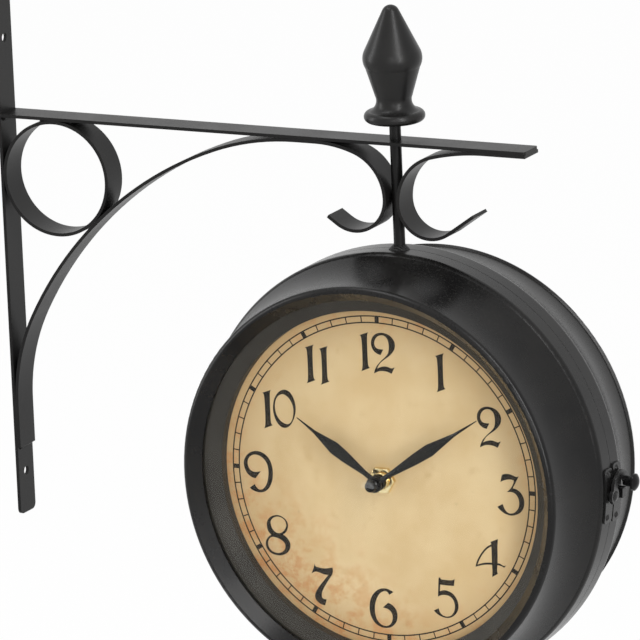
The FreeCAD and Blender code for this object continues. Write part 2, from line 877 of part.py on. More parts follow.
def case_shell(side):
    """Pressed steel half: flat band, rounded shoulder, hollow cove, rolled lip round the glass."""
    body = new_body(side + "_shell_blank")
    profile = sketch_on(body, "XZ_Plane")
    crest_r = lip_r - S.lip_bend
    inner_bend = S.lip_bend - S.case_wall
    outline(profile, [
        (S.case_radius, half_gap),
        (S.case_radius, S.band_width, S.shoulder_bend),
        (shoulder_r, shoulder_z, -S.cove_bend),
        (lip_root_r, root_z),
        (lip_r, S.lip_depth - S.lip_bend, S.lip_bend),
        (crest_r, S.lip_depth),
        (lip_inner_r, lip_seat + S.case_wall),
        (lip_inner_r, lip_seat),
        (lip_inner_r + S.lip_tuck, lip_seat),
        (crest_r, S.lip_depth - S.case_wall, -inner_bend),
        (lip_r - S.case_wall, S.lip_depth - S.lip_bend),
        (inner_root_r, root_z, inner_cove_bend),
        (inner_shoulder_r, inner_shoulder_z, -(S.shoulder_bend - S.case_wall)),
        (S.case_radius - S.case_wall, S.band_width),
        (S.case_radius - S.case_wall, half_gap),
    ])
    revolve(body, profile)
    cutters = drills(side, "shell", ("hinge", "latch"))
    if side == "front":
        cutters.append(pivot_drill("front_shell_pivot", -S.latch_lean))
    shell = cut(side + "_shell", body, group(side + "_shell_drills", cutters))
    return keep(seat(shell, side))


def glass(side):
    """Domed glass that lies under the rolled lip and clears the hands."""
    body = new_body(side + "_glass")
    profile = sketch_on(body, "XZ_Plane")
    rise = S.glass_rise
    outer_bend = (glass_edge_r * glass_edge_r + rise * rise) / (rise * 2)
    edge_top = glass_edge_z + S.glass_gauge
    outline(profile, [
        (glass_edge_r, glass_edge_z),
        (glass_edge_r, edge_top, outer_bend),
        (0, edge_top + rise),
        (0, glass_edge_z + rise, -outer_bend),
    ])
    revolve(body, profile)
    return keep(seat(body, side))


def bezel(side):
    """Inner bezel: flange under the glass, funnel down to a short neck that stands on the dial."""
    body = new_body(side + "_bezel")
    profile = sketch_on(body, "XZ_Plane")
    outline(profile, [
        (neck_r, dial_face),
        (neck_r + S.bezel_gauge, dial_face),
        (neck_r + S.bezel_gauge, bezel_neck_top - S.bezel_gauge / 2),
        (lip_inner_r + S.bezel_gauge, bezel_top - S.bezel_gauge),
        (glass_edge_r, bezel_top - S.bezel_gauge),
        (glass_edge_r, bezel_top),
        (lip_inner_r, bezel_top),
        (neck_r, bezel_neck_top),
    ])
    revolve(body, profile)
    return keep(seat(body, side))


def dial(side):
    """Flat dial plate with the hole that the movement's bushing comes through."""
    bore = S.bushing_radius + S.running_play
    plate = tube(side + "_dial", dial_r, bore, S.dial_gauge)
    return keep(seat(plate, side, depth=dial_back))


def retainer(side):
    """Snap ring behind the dial; its edge wedges against the narrowing cove."""
    body = new_body(side + "_retainer")
    profile = sketch_on(body, "XZ_Plane")
    outline(profile, [
        (retainer_inner, retainer_back),
        (cove_wall_at(retainer_back) - S.glass_play, retainer_back),
        (cove_wall_at(dial_back) - S.glass_play, dial_back),
        (retainer_inner, dial_back),
    ])
    revolve(body, profile)
    return keep(seat(body, side))


# ---------------------------------------------------------------- movement
def movement(side):
    """Battery movement: square housing with a battery bay open to the back."""
    body = new_body(side + "_movement")
    face = sketch_on(body, "XY_Plane", movement_back)
    half_side = S.movement_side / 2
    rectangle(face, -half_side, -half_side, half_side, half_side)
    pad(body, face, S.movement_depth)
    round_edges(body, S.movement_corner, along_z)
    bay = sketch_on(body, "XY_Plane", movement_back)
    half_bay = S.battery_length / 2 + S.battery_play
    half_width = S.battery_radius + S.battery_play
    rectangle(bay, -half_bay, -S.battery_offset - half_width,
              half_bay, half_width - S.battery_offset)
    pocket(body, bay, half_width * 2 - S.battery_play, backwards=True)
    socket = sketch_on(body, "XY_Plane", movement_front)
    ring(socket, 0, 0, bushing_bore)
    pocket(body, socket, S.socket_depth)
    stem = sketch_on(body, "XY_Plane", movement_back)
    ring(stem, 0, S.knob_offset, S.knob_stem + S.running_play)
    pocket(body, stem, S.socket_depth, backwards=True)
    return keep(seat(body, side))


def battery(side):
    """Round cell lying across the bay, with the raised contact at one end."""
    can_length = S.battery_length - S.battery_tip_length
    can = cylinder(side + "_can", S.battery_radius, can_length)
    tip = cylinder(side + "_tip", S.battery_tip_radius, S.battery_tip_length + 1)
    cell = join(side + "_battery", [can, place(tip, (0, 0, can_length - 1))])
    return keep(seat(cell, side, across=-S.battery_length / 2, up=-S.battery_offset,
                     depth=movement_back + S.battery_radius + S.battery_play / 2,
                     spin=Rotation(Vector(0, 1, 0), 90)))


def common(name, base, tool):
    thing = doc.addObject("Part::Common", name)
    thing.Base = base
    thing.Tool = tool
    return thing


CHAMFER_REACH = 1.7


def nut(side):
    """Brass hexagon nut with rounded corners, on the dial's face."""
    name = side + "_nut"
    blank = doc.addObject("Part::Prism", name + "_blank")
    blank.Polygon = 6
    for key, size in (("Circumradius", S.nut_flats / root(as_size(3))), ("Height", S.nut_height)):
        setattr(blank, key, size.value)
        bind(blank, key, size)
    turned = common(name + "_turned", blank,
                    cone(name + "_chamfer", S.nut_flats / 2 + S.nut_height * CHAMFER_REACH,
                         S.nut_flats / 2, S.nut_height))
    bore = cylinder(name + "_bore", S.bushing_radius + S.running_play, S.nut_height + 2)
    return keep(seat(cut(name, turned, place(bore, (0, 0, -1))), side, depth=dial_face))


def stack(side):
    """What is threaded on the dial's centre: washer behind, bushing through it, nut in front."""
    bore = S.bushing_radius + S.running_play
    keep(seat(tube(side + "_washer", S.washer_radius, bore, S.washer_gauge),
              side, depth=movement_front))
    keep(seat(tube(side + "_bushing", S.bushing_radius, bushing_bore,
                   bushing_top - movement_front), side, depth=movement_front))
    nut(side)


def setting_knob(side):
    """Knob on the movement's back that turns the hands, with its stem in the housing."""
    body = new_body(side + "_setting_knob")
    profile = sketch_on(body, "XZ_Plane")
    chamfer = S.knob_height / 5
    stem_end = S.knob_height + S.hinge_play + S.socket_depth - S.socket_end_gap
    outline(profile, [
        (0, 0),
        (S.knob_radius - chamfer, 0),
        (S.knob_radius, chamfer),
        (S.knob_radius, S.knob_height),
        (S.knob_stem, S.knob_height),
        (S.knob_stem, stem_end),
        (0, stem_end),
    ])
    revolve(body, profile)
    return keep(seat(body, side, up=S.knob_offset,
                     depth=movement_back - S.hinge_play - S.knob_height))


# ---------------------------------------------------------------- hands
HAND_SHAPE = (
    # share of the length, share of the width
    (0.04, 0.42),
    (0.16, 0.42),
    (0.40, 0.88),
    (0.54, 1.00),
    (0.66, 0.62),
    (0.78, 0.26),
    (1.00, 0.07),
)


def hand(side, name, length, width, bore, depth, angle):
    """Lance hand creased along its middle: narrow neck, wide waist, needle point."""
    body = new_body(f"{side}_{name}_hand")
    sections = []
    for along, share in HAND_SHAPE:
        section = sketch_on(body, "XZ_Plane", -length * along)
        half_width = width * share / 2
        crease = S.hand_gauge + (S.hand_ridge - S.hand_gauge) * share
        outline(section, [(-half_width, 0), (half_width, 0), (0, crease)])
        sections.append(section)
    blade = body.newObject("PartDesign::AdditiveLoft", body.Name + "_blade")
    blade.Profile = sections[0]
    blade.Sections = sections[1:]
    blade.Ruled = True
    body.Tip = blade
    hub = sketch_on(body, "XY_Plane")
    ring(hub, 0, 0, S.hand_hub_radius)
    pad(body, hub, S.hand_ridge)
    collet = sketch_on(body, "XY_Plane")
    ring(collet, 0, 0, bore + S.collet_wall)
    pad(body, collet, S.collet_height, backwards=True)
    hole = sketch_on(body, "XY_Plane", -S.collet_height * 2)
    ring(hole, 0, 0, bore)
    pocket(body, hole, backwards=True)
    return keep(seat(body, side, depth=depth, spin=Rotation(Vector(0, 0, 1), -angle.value)))


def arbors(side):
    """Hour tube and minute arbor, one inside the other, that carry the two hands."""
    foot = movement_front - S.socket_depth + S.socket_end_gap
    keep(seat(tube(side + "_hour_tube", S.hour_tube_radius, tube_bore,
                   hour_z + S.hand_ridge - foot), side, depth=foot))
    keep(seat(cylinder(side + "_minute_arbor", S.minute_arbor_radius,
                       cap_foot + S.cap_thread - foot), side, depth=foot))


GROOVE_SHARE = 0.9


def hand_cap(side):
    """Closed nut with a domed end that holds the minute hand."""
    body = new_body(side + "_hand_cap")
    profile = sketch_on(body, "XZ_Plane")
    collar = S.cap_length / 3
    groove = S.cap_radius * GROOVE_SHARE
    slope = S.cap_radius - groove
    bore = S.minute_arbor_radius + S.running_play
    outline(profile, [
        (bore, 0),
        (S.cap_radius, 0),
        (S.cap_radius, collar),
        (groove, collar + slope),
        (groove, S.cap_length - S.cap_radius - slope),
        (S.cap_radius, S.cap_length - S.cap_radius, S.cap_radius),
        (0, S.cap_length),
        (0, S.cap_thread + S.glass_play),
        (bore, S.cap_thread + S.glass_play),
    ])
    revolve(body, profile)
    return keep(seat(body, side, depth=cap_foot))


# ---------------------------------------------------------------- rivets, hinge and latch
HEAD_SHARE = 1.7
TAIL_SHARE = 0.9


def rivet(name):
    """Round-headed rivet through the band and a plate, drawn from the band's inside."""
    body = new_body(name)
    profile = sketch_on(body, "XZ_Plane")
    head_z = S.case_wall + S.leaf_gauge
    head_radius, head = S.rivet_head_radius, S.rivet_head_height
    outline(profile, [
        (0, -S.rivet_tail_height),
        (head_radius * TAIL_SHARE, -S.rivet_tail_height),
        (head_radius * TAIL_SHARE, -S.running_play),
        (S.rivet_radius, -S.running_play),
        (S.rivet_radius, head_z),
        (head_radius, head_z, (head_radius * head_radius + head * head) / (head * 2)),
        (0, head_z + head),
    ])
    revolve(body, profile)
    return body


def rivets(side):
    """Rivets that fix the hinge leaf and the latch's plate to one half's band."""
    pieces = []
    for spot, angle, inset in rivet_spots(side):
        piece = rivet(f"{side}_rivet_{spot}")
        pieces.append(stand_on_band(piece, angle, S.case_radius - S.case_wall, inset))
    return keep(seat(group(side + "_rivets", pieces), side))


def along_x(edge):
    return edge.Curve.TypeId == "Part::GeomLine" and abs(edge.tangentAt(0).x) > 0.9


def band_plate(name, way, half_height, width):
    """Round-cornered plate bent to the band's curve, on one side and just clear of the seam."""
    hoop = tube(name + "_hoop", plate_top, S.case_radius, width + S.plate_corner)
    window = new_body(name + "_window")
    face = sketch_on(window, "YZ_Plane")
    rectangle(face, -half_height, plate_edge, half_height, width)
    pad(window, face, plate_top + S.plate_corner, backwards=way < 0)
    round_edges(window, S.plate_corner, along_x)
    return common(name + "_plate", hoop, window)


def knuckle(name, way, low, high, radius):
    """Upright cylinder on the hinge's axis between two heights."""
    piece = cylinder(name, radius, high - low)
    return place(piece, (way * hinge_axis, low, 0), Rotation(Vector(1, 0, 0), -90))


def hinge_leaf(side):
    """Leaf with its knuckles: two on the front half, one between them on the rear half."""
    way = hinge_way(side)
    name = side + "_hinge_leaf"
    end, inner = S.hinge_half_height, S.knuckle_half_height
    play = S.hinge_play / 2
    outer_spans = [(-end, -inner - play), (inner + play, end)]
    inner_spans = [(play - inner, inner - play)]
    own, other = (outer_spans, inner_spans) if side == "front" else (inner_spans, outer_spans)
    pieces = [band_plate(name, way, end, S.leaf_width)]
    for number, (low, high) in enumerate(own, 1):
        pieces.append(knuckle(f"{name}_knuckle_{number}", way, low, high, S.knuckle_radius))
        bridge = box(f"{name}_bridge_{number}", hinge_axis - S.case_radius - play,
                     high - low, S.knuckle_radius - plate_edge)
        left = -hinge_axis if way < 0 else S.case_radius + play
        pieces.append(place(bridge, (left, low, plate_edge)))
    cutters = drills(side, "leaf", "hinge")
    cutters.append(knuckle(name + "_pin_bore", way, -end - 1, end + 1,
                           S.pin_radius + S.running_play))
    room = S.knuckle_radius + S.hinge_play
    for number, (low, high) in enumerate(other, 1):
        cutters.append(knuckle(f"{name}_room_{number}", way, low - play * 2, high + play * 2, room))
    leaf = cut(name, join(name + "_blank", pieces), join(name + "_cutters", cutters))
    return keep(seat(leaf, side))


def hinge_pin():
    """Headed pin through the three knuckles."""
    body = new_body("hinge_pin")
    profile = sketch_on(body, "XZ_Plane")
    end = S.hinge_half_height + S.running_play
    head_radius = S.pin_radius * HEAD_SHARE
    head_end = end + S.pin_radius
    chamfer = S.pin_radius / 2
    outline(profile, [
        (0, -head_end),
        (head_radius - chamfer, -head_end),
        (head_radius, chamfer - head_end),
        (head_radius, -end),
        (S.pin_radius, -end),
        (S.pin_radius, end),
        (head_radius, end),
        (head_radius, head_end - chamfer),
        (head_radius - chamfer, head_end),
        (0, head_end),
    ])
    revolve(body, profile)
    place(body, (rod_x - hinge_axis, S.seam_offset, clock_z))
    return keep(body)


def latch_plate():
    """Plate on the front half that the latch lever turns on."""
    blank = band_plate("latch_plate_blank", 1, S.plate_half_height, S.plate_width)
    cutters = drills("front", "plate", "latch", leaning=False)
    cutters.append(pivot_drill("latch_plate_pivot", 0))
    plate = cut("latch_plate", blank, group("latch_plate_cutters", cutters))
    return keep(seat(plate, "front", spin=lean("front")))


def catch_plate():
    """Plate on the rear half with the loop that the lever hooks round."""
    blank = band_plate("catch_plate_blank", -1, S.catch_half_height, S.catch_width)
    outer = plate_top + S.catch_rise
    root_x = S.case_radius + S.hinge_play
    tall = S.catch_half_rise * 2
    loop = box("catch_loop", outer - root_x, tall, S.catch_far - S.catch_near)
    place(loop, (-outer, -S.catch_half_rise, S.catch_near))
    opening = box("catch_opening", S.catch_rise - S.catch_wall, tall + 2,
                  S.catch_far - S.catch_near - S.catch_wall * 2)
    place(opening, (S.catch_wall - outer, -S.catch_half_rise - 1, S.catch_near + S.catch_wall))
    cutters = drills("rear", "plate", "latch", leaning=False) + [opening]
    plate = cut("catch_plate", join("catch_blank", [blank, loop]),
                group("catch_plate_cutters", cutters))
    return keep(seat(plate, "rear", spin=lean("rear")))


def latch_pivot():
    """Shouldered rivet that the lever turns on, clear of the plate's rivet heads."""
    body = new_body("latch_pivot")
    profile = sketch_on(body, "XZ_Plane")
    shank, collar = S.pivot_radius, S.pivot_radius * HEAD_SHARE
    inside = S.case_radius - S.case_wall - S.running_play
    head_z = lever_back + S.lever_gauge + S.running_play
    head = S.rivet_head_height
    outline(profile, [
        (0, inside - S.rivet_tail_height),
        (collar, inside - S.rivet_tail_height),
        (collar, inside),
        (shank, inside),
        (shank, plate_top),
        (collar, plate_top),
        (collar, lever_back - S.running_play),
        (shank, lever_back - S.running_play),
        (shank, head_z),
        (collar, head_z, (collar * collar + head * head) / (head * 2)),
        (0, head_z + head),
    ])
    revolve(body, profile)
    outwards = lean("front").multiply(Rotation(Vector(0, 1, 0), 90))
    return keep(seat(body, "front", depth=S.pivot_inset, spin=outwards))


def latch_lever():
    """Hook shaped lever, drawn seen from outside with Y away from its own half and Z up."""
    body = new_body("latch_lever")
    centre = (S.lever_centre_along, S.lever_centre_up)
    outer = S.lever_bend + S.lever_width / 2
    inner = S.lever_bend - S.lever_width / 2
    open_at = S.lever_open_angle
    hub_at = S.lever_hub_angle
    middle = (open_at + hub_at) / 2
    spots = []
    for radius, angle, bend in ((outer, open_at, outer), (outer, middle, outer),
                                (outer, hub_at, None), (inner, hub_at, -inner),
                                (inner, middle, -inner), (inner, open_at, None)):
        spot = (centre[0] + radius * cosine(angle), centre[1] + radius * sine(angle))
        spots.append(spot if bend is None else spot + (bend,))
    hook = sketch_on(body, "YZ_Plane", lever_back)
    outline(hook, spots)
    pad(body, hook, S.lever_gauge)
    for x, y, radius in ((-S.pivot_inset, 0, S.lever_hub_radius),
                         (*lever_end, S.lever_end_radius)):
        disc = sketch_on(body, "YZ_Plane", lever_back)
        ring(disc, x, y, radius)
        pad(body, disc, S.lever_gauge)
    hole = sketch_on(body, "YZ_Plane", lever_back)
    ring(hole, -S.pivot_inset, 0, S.pivot_radius + S.running_play)
    pocket(body, hole, backwards=True)
    place(body, clock_centre, Rotation(Vector(0, 1, 0), S.latch_lean.value))
    return keep(body)


def latch_knob():
    """Turned finger knob on the lever's end: narrow neck and a domed head."""
    body = new_body("latch_knob")
    profile = sketch_on(body, "XZ_Plane")
    rim = S.latch_knob_radius
    neck_top = S.latch_knob_neck_height
    dome_rise = S.latch_knob_height - neck_top - rim / 2
    dome = (rim * rim + dome_rise * dome_rise) / (dome_rise * 2)
    outline(profile, [
        (0, 0),
        (S.latch_knob_neck, 0),
        (S.latch_knob_neck, neck_top),
        (rim, neck_top + rim / 4),
        (rim, neck_top + rim / 2, dome),
        (0, S.latch_knob_height),
    ])
    revolve(body, profile)
    foot, up = lever_back + S.lever_gauge, lever_end[1]
    across = foot * cosine(S.latch_lean) + up * sine(S.latch_lean)
    rise = up * cosine(S.latch_lean) - foot * sine(S.latch_lean)
    place(body, (rod_x + across, S.seam_offset + lever_end[0], clock_z + rise),
          Rotation(Vector(0, 1, 0), 90 + S.latch_lean.value))
    return keep(body)


def rod_weld():
    """Weld run round the rod's foot, on the front half's band only."""
    cap_cone = cone("rod_weld_cone", S.rod_diameter, rod_radius + S.rod_lift, S.weld_bead)
    place(cap_cone, (rod_x, 0, case_top - S.rod_lift))
    barrel = place(cylinder("rod_weld_case", S.case_radius, S.band_width * 3),
                   (rod_x, S.band_width, clock_z), Rotation(Vector(1, 0, 0), 90))
    behind = box("rod_weld_seam", S.strip_width * 2, S.strip_width, S.strip_width)
    place(behind, (rod_x - S.strip_width, S.seam_offset - S.rod_lift, case_top - S.weld_bead))
    cutters = group("rod_weld_cutters", [barrel, behind])
    trimmed = cut("rod_weld_trimmed", cut("rod_weld_blank", cap_cone, rod), cutters)
    trimmed.Label = "rod_weld"
    return keep(trimmed)


for side in FACING:
    case_shell(side)
    glass(side)
    bezel(side)
    dial(side)
    retainer(side)
    movement(side)
    battery(side)
    stack(side)
    setting_knob(side)
    arbors(side)
    hand(side, "hour", S.hour_length, S.hour_width, S.hour_tube_radius + S.running_play,
         hour_z, S.hour_angle)
    hand(side, "minute", S.minute_length, S.minute_width, S.minute_arbor_radius + S.running_play,
         minute_z, S.minute_angle)
    hand_cap(side)
    hinge_leaf(side)
    rivets(side)
hinge_pin()
latch_plate()
catch_plate()
latch_pivot()
latch_lever()
latch_knob()
rod_weld()


# ---------------------------------------------------------------- check and write
def check(thing):
    if "Invalid" in thing.State or "Error" in thing.State:
        raise RuntimeError(f"{thing.Label}: {thing.State}")


doc.recompute()
for thing in doc.Objects:
    check(thing)
os.makedirs(PARTS_FOLDER, exist_ok=True)
for node in nodes:
    shape = node.Shape
    if shape.isNull() or not shape.isValid():
        raise RuntimeError(f"{node.Label}: the shape is not sound")
    shape.exportStep(os.path.join(PARTS_FOLDER, node.Label + ".step"))
    print(f"{node.Label}: {len(shape.Solids)} solid(s), {shape.Volume:.0f} mm3")
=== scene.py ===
import math
import bpy
from mathutils import Matrix, Vector


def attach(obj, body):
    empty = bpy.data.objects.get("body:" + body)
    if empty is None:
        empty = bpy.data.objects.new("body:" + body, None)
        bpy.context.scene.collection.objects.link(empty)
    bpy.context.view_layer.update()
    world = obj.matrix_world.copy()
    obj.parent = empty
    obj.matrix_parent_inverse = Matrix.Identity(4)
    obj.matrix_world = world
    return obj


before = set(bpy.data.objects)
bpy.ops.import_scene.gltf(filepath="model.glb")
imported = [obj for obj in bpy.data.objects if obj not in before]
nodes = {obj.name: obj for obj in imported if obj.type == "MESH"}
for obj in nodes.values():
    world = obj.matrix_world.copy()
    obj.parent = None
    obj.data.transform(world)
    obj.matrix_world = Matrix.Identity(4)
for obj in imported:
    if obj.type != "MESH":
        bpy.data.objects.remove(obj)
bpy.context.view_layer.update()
scene = bpy.context.scene
scene.view_settings.view_transform = "Standard"
MM = 0.001


# ---------------------------------------------------------------- camera
# A long lens a few metres off, above the clock and to the right of its front dial. The roll is
# the tilt that the hung clock has in the picture.
def aim_camera(azimuth, elevation, roll, distance, target, lens):
    """Camera on a sphere round a target, turned about its own axis by roll."""
    turn_round, lift, turn = (math.radians(angle) for angle in (azimuth, elevation, roll))
    back = Vector((math.sin(turn_round) * math.cos(lift), -math.cos(turn_round) * math.cos(lift),
                   math.sin(lift)))
    right = (-back).cross(Vector((0, 0, 1))).normalized()
    up = right.cross(-back)
    across = right * math.cos(turn) + up * math.sin(turn)
    upright = up * math.cos(turn) - right * math.sin(turn)
    data = bpy.data.cameras.new("camera")
    data.lens = lens
    data.sensor_width = 36
    data.clip_end = 100
    camera = bpy.data.objects.new("camera", data)
    scene.collection.objects.link(camera)
    matrix = Matrix((across, upright, back)).transposed().to_4x4()
    matrix.translation = Vector(target) + back * distance
    camera.matrix_world = matrix
    scene.camera = camera


aim_camera(27.37, 14.21, -2.40, 3.8778, (0.16919, 0, -0.01995), 450)


# ---------------------------------------------------------------- studio
# A wide pale floor below the clock and a white room, with soft boxes above, to the left, to the
# right and in front. Floor and room show white to the lens and in gloss, and light the clock
# more gently.
class Shade:
    """One output of a shader node; arithmetic on it adds nodes to the same tree."""

    def __init__(self, tree, output=None):
        self.tree = tree
        self.output = output

    def node(self, kind, settings=None, values=None, outlet=0):
        """Add a node of a kind, apply its settings, then fill or link its sockets."""
        node = self.tree.nodes.new("ShaderNode" + kind)
        for name, setting in (settings or {}).items():
            if name == "stops":
                self.fill_ramp(node.color_ramp, setting)
            else:
                setattr(node, name, setting)
        for name, value in (values or {}).items():
            if isinstance(value, Shade):
                self.tree.links.new(value.output, node.inputs[name])
            else:
                node.inputs[name].default_value = value
        return Shade(self.tree, node.outputs[outlet] if node.outputs else None)

    def fill_ramp(self, ramp, stops):
        while len(ramp.elements) < len(stops):
            ramp.elements.new(1.0)
        for element, (place, level) in zip(ramp.elements, stops):
            element.position = place
            element.color = (level, level, level, 1)

    def math(self, operation, *others, clamp=False):
        values = {0: self}
        values.update(enumerate(others, 1))
        return self.node("Math", {"operation": operation, "use_clamp": clamp}, values)

    def __add__(self, other):
        return self.math("ADD", other)

    def __radd__(self, other):
        return self.math("ADD", other)

    def __mul__(self, other):
        return self.math("MULTIPLY", other)

    def __rmul__(self, other):
        return self.math("MULTIPLY", other)

    def __sub__(self, other):
        return self.math("SUBTRACT", other)

    def __rsub__(self, other):
        return self.node("Math", {"operation": "SUBTRACT"}, {0: other, 1: self})

    def __truediv__(self, other):
        return self.math("DIVIDE", other)

    def band(self, low, high):
        """0 below low, 1 above high, smooth between; high may be the lower of the two."""
        return self.node("MapRange", {"interpolation_type": "SMOOTHSTEP"},
                         {"Value": self, "From Min": low, "From Max": high})

    def between(self, first, second):
        """This as the mask between two colours."""
        return self.node("Mix", {"data_type": "RGBA"}, {0: self, 6: first, 7: second}, 2)


def open_tree(owner):
    """Empty an owner's node tree and give a pen to write nodes with."""
    owner.use_nodes = True
    owner.node_tree.nodes.clear()
    return Shade(owner.node_tree)


def seen_directly(pen):
    """1 on rays from the lens, in gloss and through glass, and 0 on rays that light the clock."""
    light_path = pen.node("LightPath")
    rays = {output.name: Shade(pen.tree, output) for output in light_path.output.node.outputs}
    direct = rays["Is Camera Ray"].math("MAXIMUM", rays["Is Glossy Ray"])
    return direct.math("MAXIMUM", rays["Is Transmission Ray"])


FLOOR_LEVEL = -0.36
FLOOR_HALF = 30.0
FLOOR_WHITE = (0.92, 0.92, 0.92, 1)
FLOOR_GLOW = 0.97
LAMP_AIM = (0.2, 0, -0.05)
ROOM_LIGHT = 0.44


def make_floor():
    mesh = bpy.data.meshes.new("floor")
    corners = [(x * FLOOR_HALF, y * FLOOR_HALF, FLOOR_LEVEL)
               for x, y in ((-1, -1), (1, -1), (1, 1), (-1, 1))]
    mesh.from_pydata(corners, [], [(0, 1, 2, 3)])
    floor = bpy.data.objects.new("floor", mesh)
    scene.collection.objects.link(floor)
    material = bpy.data.materials.new("floor_paint")
    pen = open_tree(material)
    matt = pen.node("BsdfDiffuse", values={"Color": FLOOR_WHITE})
    glow = pen.node("Emission", values={"Color": (1, 1, 1, 1), "Strength": 1.0})
    surface = pen.node("MixShader", values={0: seen_directly(pen) * FLOOR_GLOW, 1: matt, 2: glow})
    pen.node("OutputMaterial", values={"Surface": surface})
    mesh.materials.append(material)


def make_room():
    world = bpy.data.worlds.new("room")
    scene.world = world
    pen = open_tree(world)
    strength = ROOM_LIGHT + seen_directly(pen) * (1 - ROOM_LIGHT)
    surface = pen.node("Background", values={"Color": (1, 1, 1, 1), "Strength": strength})
    pen.node("OutputWorld", values={"Surface": surface})


def soft_box(name, place, width, height, power):
    """An area lamp of a given size that faces the clock."""
    data = bpy.data.lights.new(name, "AREA")
    data.shape = "RECTANGLE"
    data.size = width
    data.size_y = height
    data.energy = power
    lamp = bpy.data.objects.new(name, data)
    scene.collection.objects.link(lamp)
    lamp.location = place
    lamp.rotation_euler = (Vector(LAMP_AIM) - Vector(place)).to_track_quat("-Z", "Y").to_euler()
    lamp.visible_camera = False


make_floor()
make_room()
soft_box("box_above", (-0.2, -0.3, 1.5), 0.8, 0.35, 5)
soft_box("box_left", (-1.6, -0.7, 0.5), 0.30, 1.6, 12)
soft_box("box_right", (1.7, -1.0, 0.9), 0.30, 2.4, 34)
soft_box("box_front", (1.1, -1.9, 0.5), 0.20, 1.2, 6)


# ---------------------------------------------------------------- bracket
# Wall bar, arm, ring and scrolls are mild steel flat bar, bent cold and welded, with a turned
# finial on the rod. All of it has one sprayed coat of satin black paint.
PAINT_DEEP = (0.0048, 0.0047, 0.0048, 1)
PAINT_PALE = (0.0085, 0.0081, 0.0077, 1)
PAINT_DUST = (0.030, 0.029, 0.027, 1)


def place_on_part(pen):
    """Position on the part in millimetres."""
    where = pen.node("TexCoord", outlet=3)
    return pen.node("VectorMath", {"operation": "SCALE"}, {0: where, "Scale": 1 / MM})


def speckle(pen, where, size, detail=2.0, roughness=0.5):
    """Noise from 0 to 1 whose lumps are about size millimetres across."""
    return pen.node("TexNoise", values={"Vector": where, "Scale": 1 / size, "Detail": detail,
                                        "Roughness": roughness})


def dress(material, pen, values, bump=None, height=0.0, edge=0.0):
    """Close a material with one Principled shader, with bump and softened edges in its normal."""
    values = dict(values)
    normal = None
    if edge:
        normal = pen.node("Bevel", {"samples": 4}, {"Radius": edge * MM})
    if bump is not None:
        sockets = {"Height": bump, "Distance": height * MM, "Strength": 1.0}
        if normal is not None:
            sockets["Normal"] = normal
        normal = pen.node("Bump", values=sockets)
    if normal is not None:
        values["Normal"] = normal
    surface = pen.node("BsdfPrincipled", values=values)
    pen.node("OutputMaterial", values={"Surface": surface})
    return material


def satin_paint(name, edge, roughness=0.34, level=0.17, peel_height=0.008):
    """Sprayed satin black: fine orange peel, slow sheen changes, a little dust on top."""
    material = bpy.data.materials.new(name)
    pen = open_tree(material)
    where = place_on_part(pen)
    slow = speckle(pen, where, 26.0, 3.0)
    fine = speckle(pen, where, 1.3, 2.0)
    peel = speckle(pen, where, 0.55, 1.0)
    facing = pen.node("SeparateXYZ", values={0: pen.node("NewGeometry", outlet=1)}, outlet=2)
    dust = facing.band(0.55, 1.0) * fine.band(0.52, 0.72) * 0.35
    paint = slow.band(0.3, 0.7).between(PAINT_DEEP, PAINT_PALE)
    colour = dust.between(paint, PAINT_DUST)
    sheen = roughness - 0.05 + slow.band(0.25, 0.75) * 0.07 + fine * 0.05 + dust * 0.12
    return dress(material, pen, {"Base Color": colour, "Roughness": sheen,
                                 "Specular IOR Level": level},
                 bump=peel + fine * 0.8, height=peel_height, edge=edge)


def wear(material, *names):
    """Give CAD nodes a material."""
    for name in names:
        slots = nodes[name].data.materials
        slots.clear()
        slots.append(material)


wear(satin_paint("strip_paint", 0.35), "wall_bar", "arm_bar", "corner_ring", "brace_scroll",
     "end_scroll")
wear(satin_paint("rod_paint", 0.15), "hanger_rod")
wear(satin_paint("finial_paint", 0.5, 0.32, 0.24), "finial")


# ---------------------------------------------------------------- welds
# Short runs of weld hold the strips to each other and the rod to the case. They were ground
# only roughly, so ripples show through the same black paint.
def weld_paint():
    material = bpy.data.materials.new("weld_paint")
    pen = open_tree(material)
    where = place_on_part(pen)
    ripple = pen.node("TexWave", {"wave_type": "BANDS", "bands_direction": "Y"},
                      {"Vector": where, "Scale": 0.32, "Distortion": 3.0, "Detail": 2.0})
    grit = speckle(pen, where, 0.8, 3.0)
    colour = grit.band(0.3, 0.7).between(PAINT_DEEP, PAINT_PALE)
    return dress(material, pen, {"Base Color": colour, "Roughness": 0.38 + grit * 0.2,
                                 "Specular IOR Level": 0.28},
                 bump=ripple + grit * 0.6, height=0.22, edge=0.3)


wear(weld_paint(), "bracket_welds", "rod_weld")


# ---------------------------------------------------------------- case halves
# Each half is pressed from steel sheet, with a flat band at the seam, a rounded shoulder, a
# hollow cove and a lip rolled over the glass. It is sprayed outside and in.
SIDES = ("front", "rear")
BODY_OF = {"front": "bracket_and_front_case", "rear": "rear_case"}

case_paint = satin_paint("case_paint", 0.25, 0.26, 0.20, 0.003)
for side in SIDES:
    wear(case_paint, side + "_shell")


# ---------------------------------------------------------------- glass
# A thin domed glass under the rolled lip of each half. It is clear, with a very faint film.
def clear_glass():
    material = bpy.data.materials.new("clear_glass")
    pen = open_tree(material)
    film = speckle(pen, place_on_part(pen), 30.0, 3.0)
    rim = pen.node("Fresnel", values={"IOR": 1.45})
    clear = pen.node("BsdfTransparent", values={"Color": (0.985, 0.99, 0.985, 1)})
    gloss = pen.node("BsdfGlossy", values={"Color": (1, 1, 1, 1), "Roughness": 0.03})
    shine = rim * (0.10 + film.band(0.4, 0.8) * 0.04)
    surface = pen.node("MixShader", values={0: shine, 1: clear, 2: gloss})
    pen.node("OutputMaterial", values={"Surface": surface})
    return material


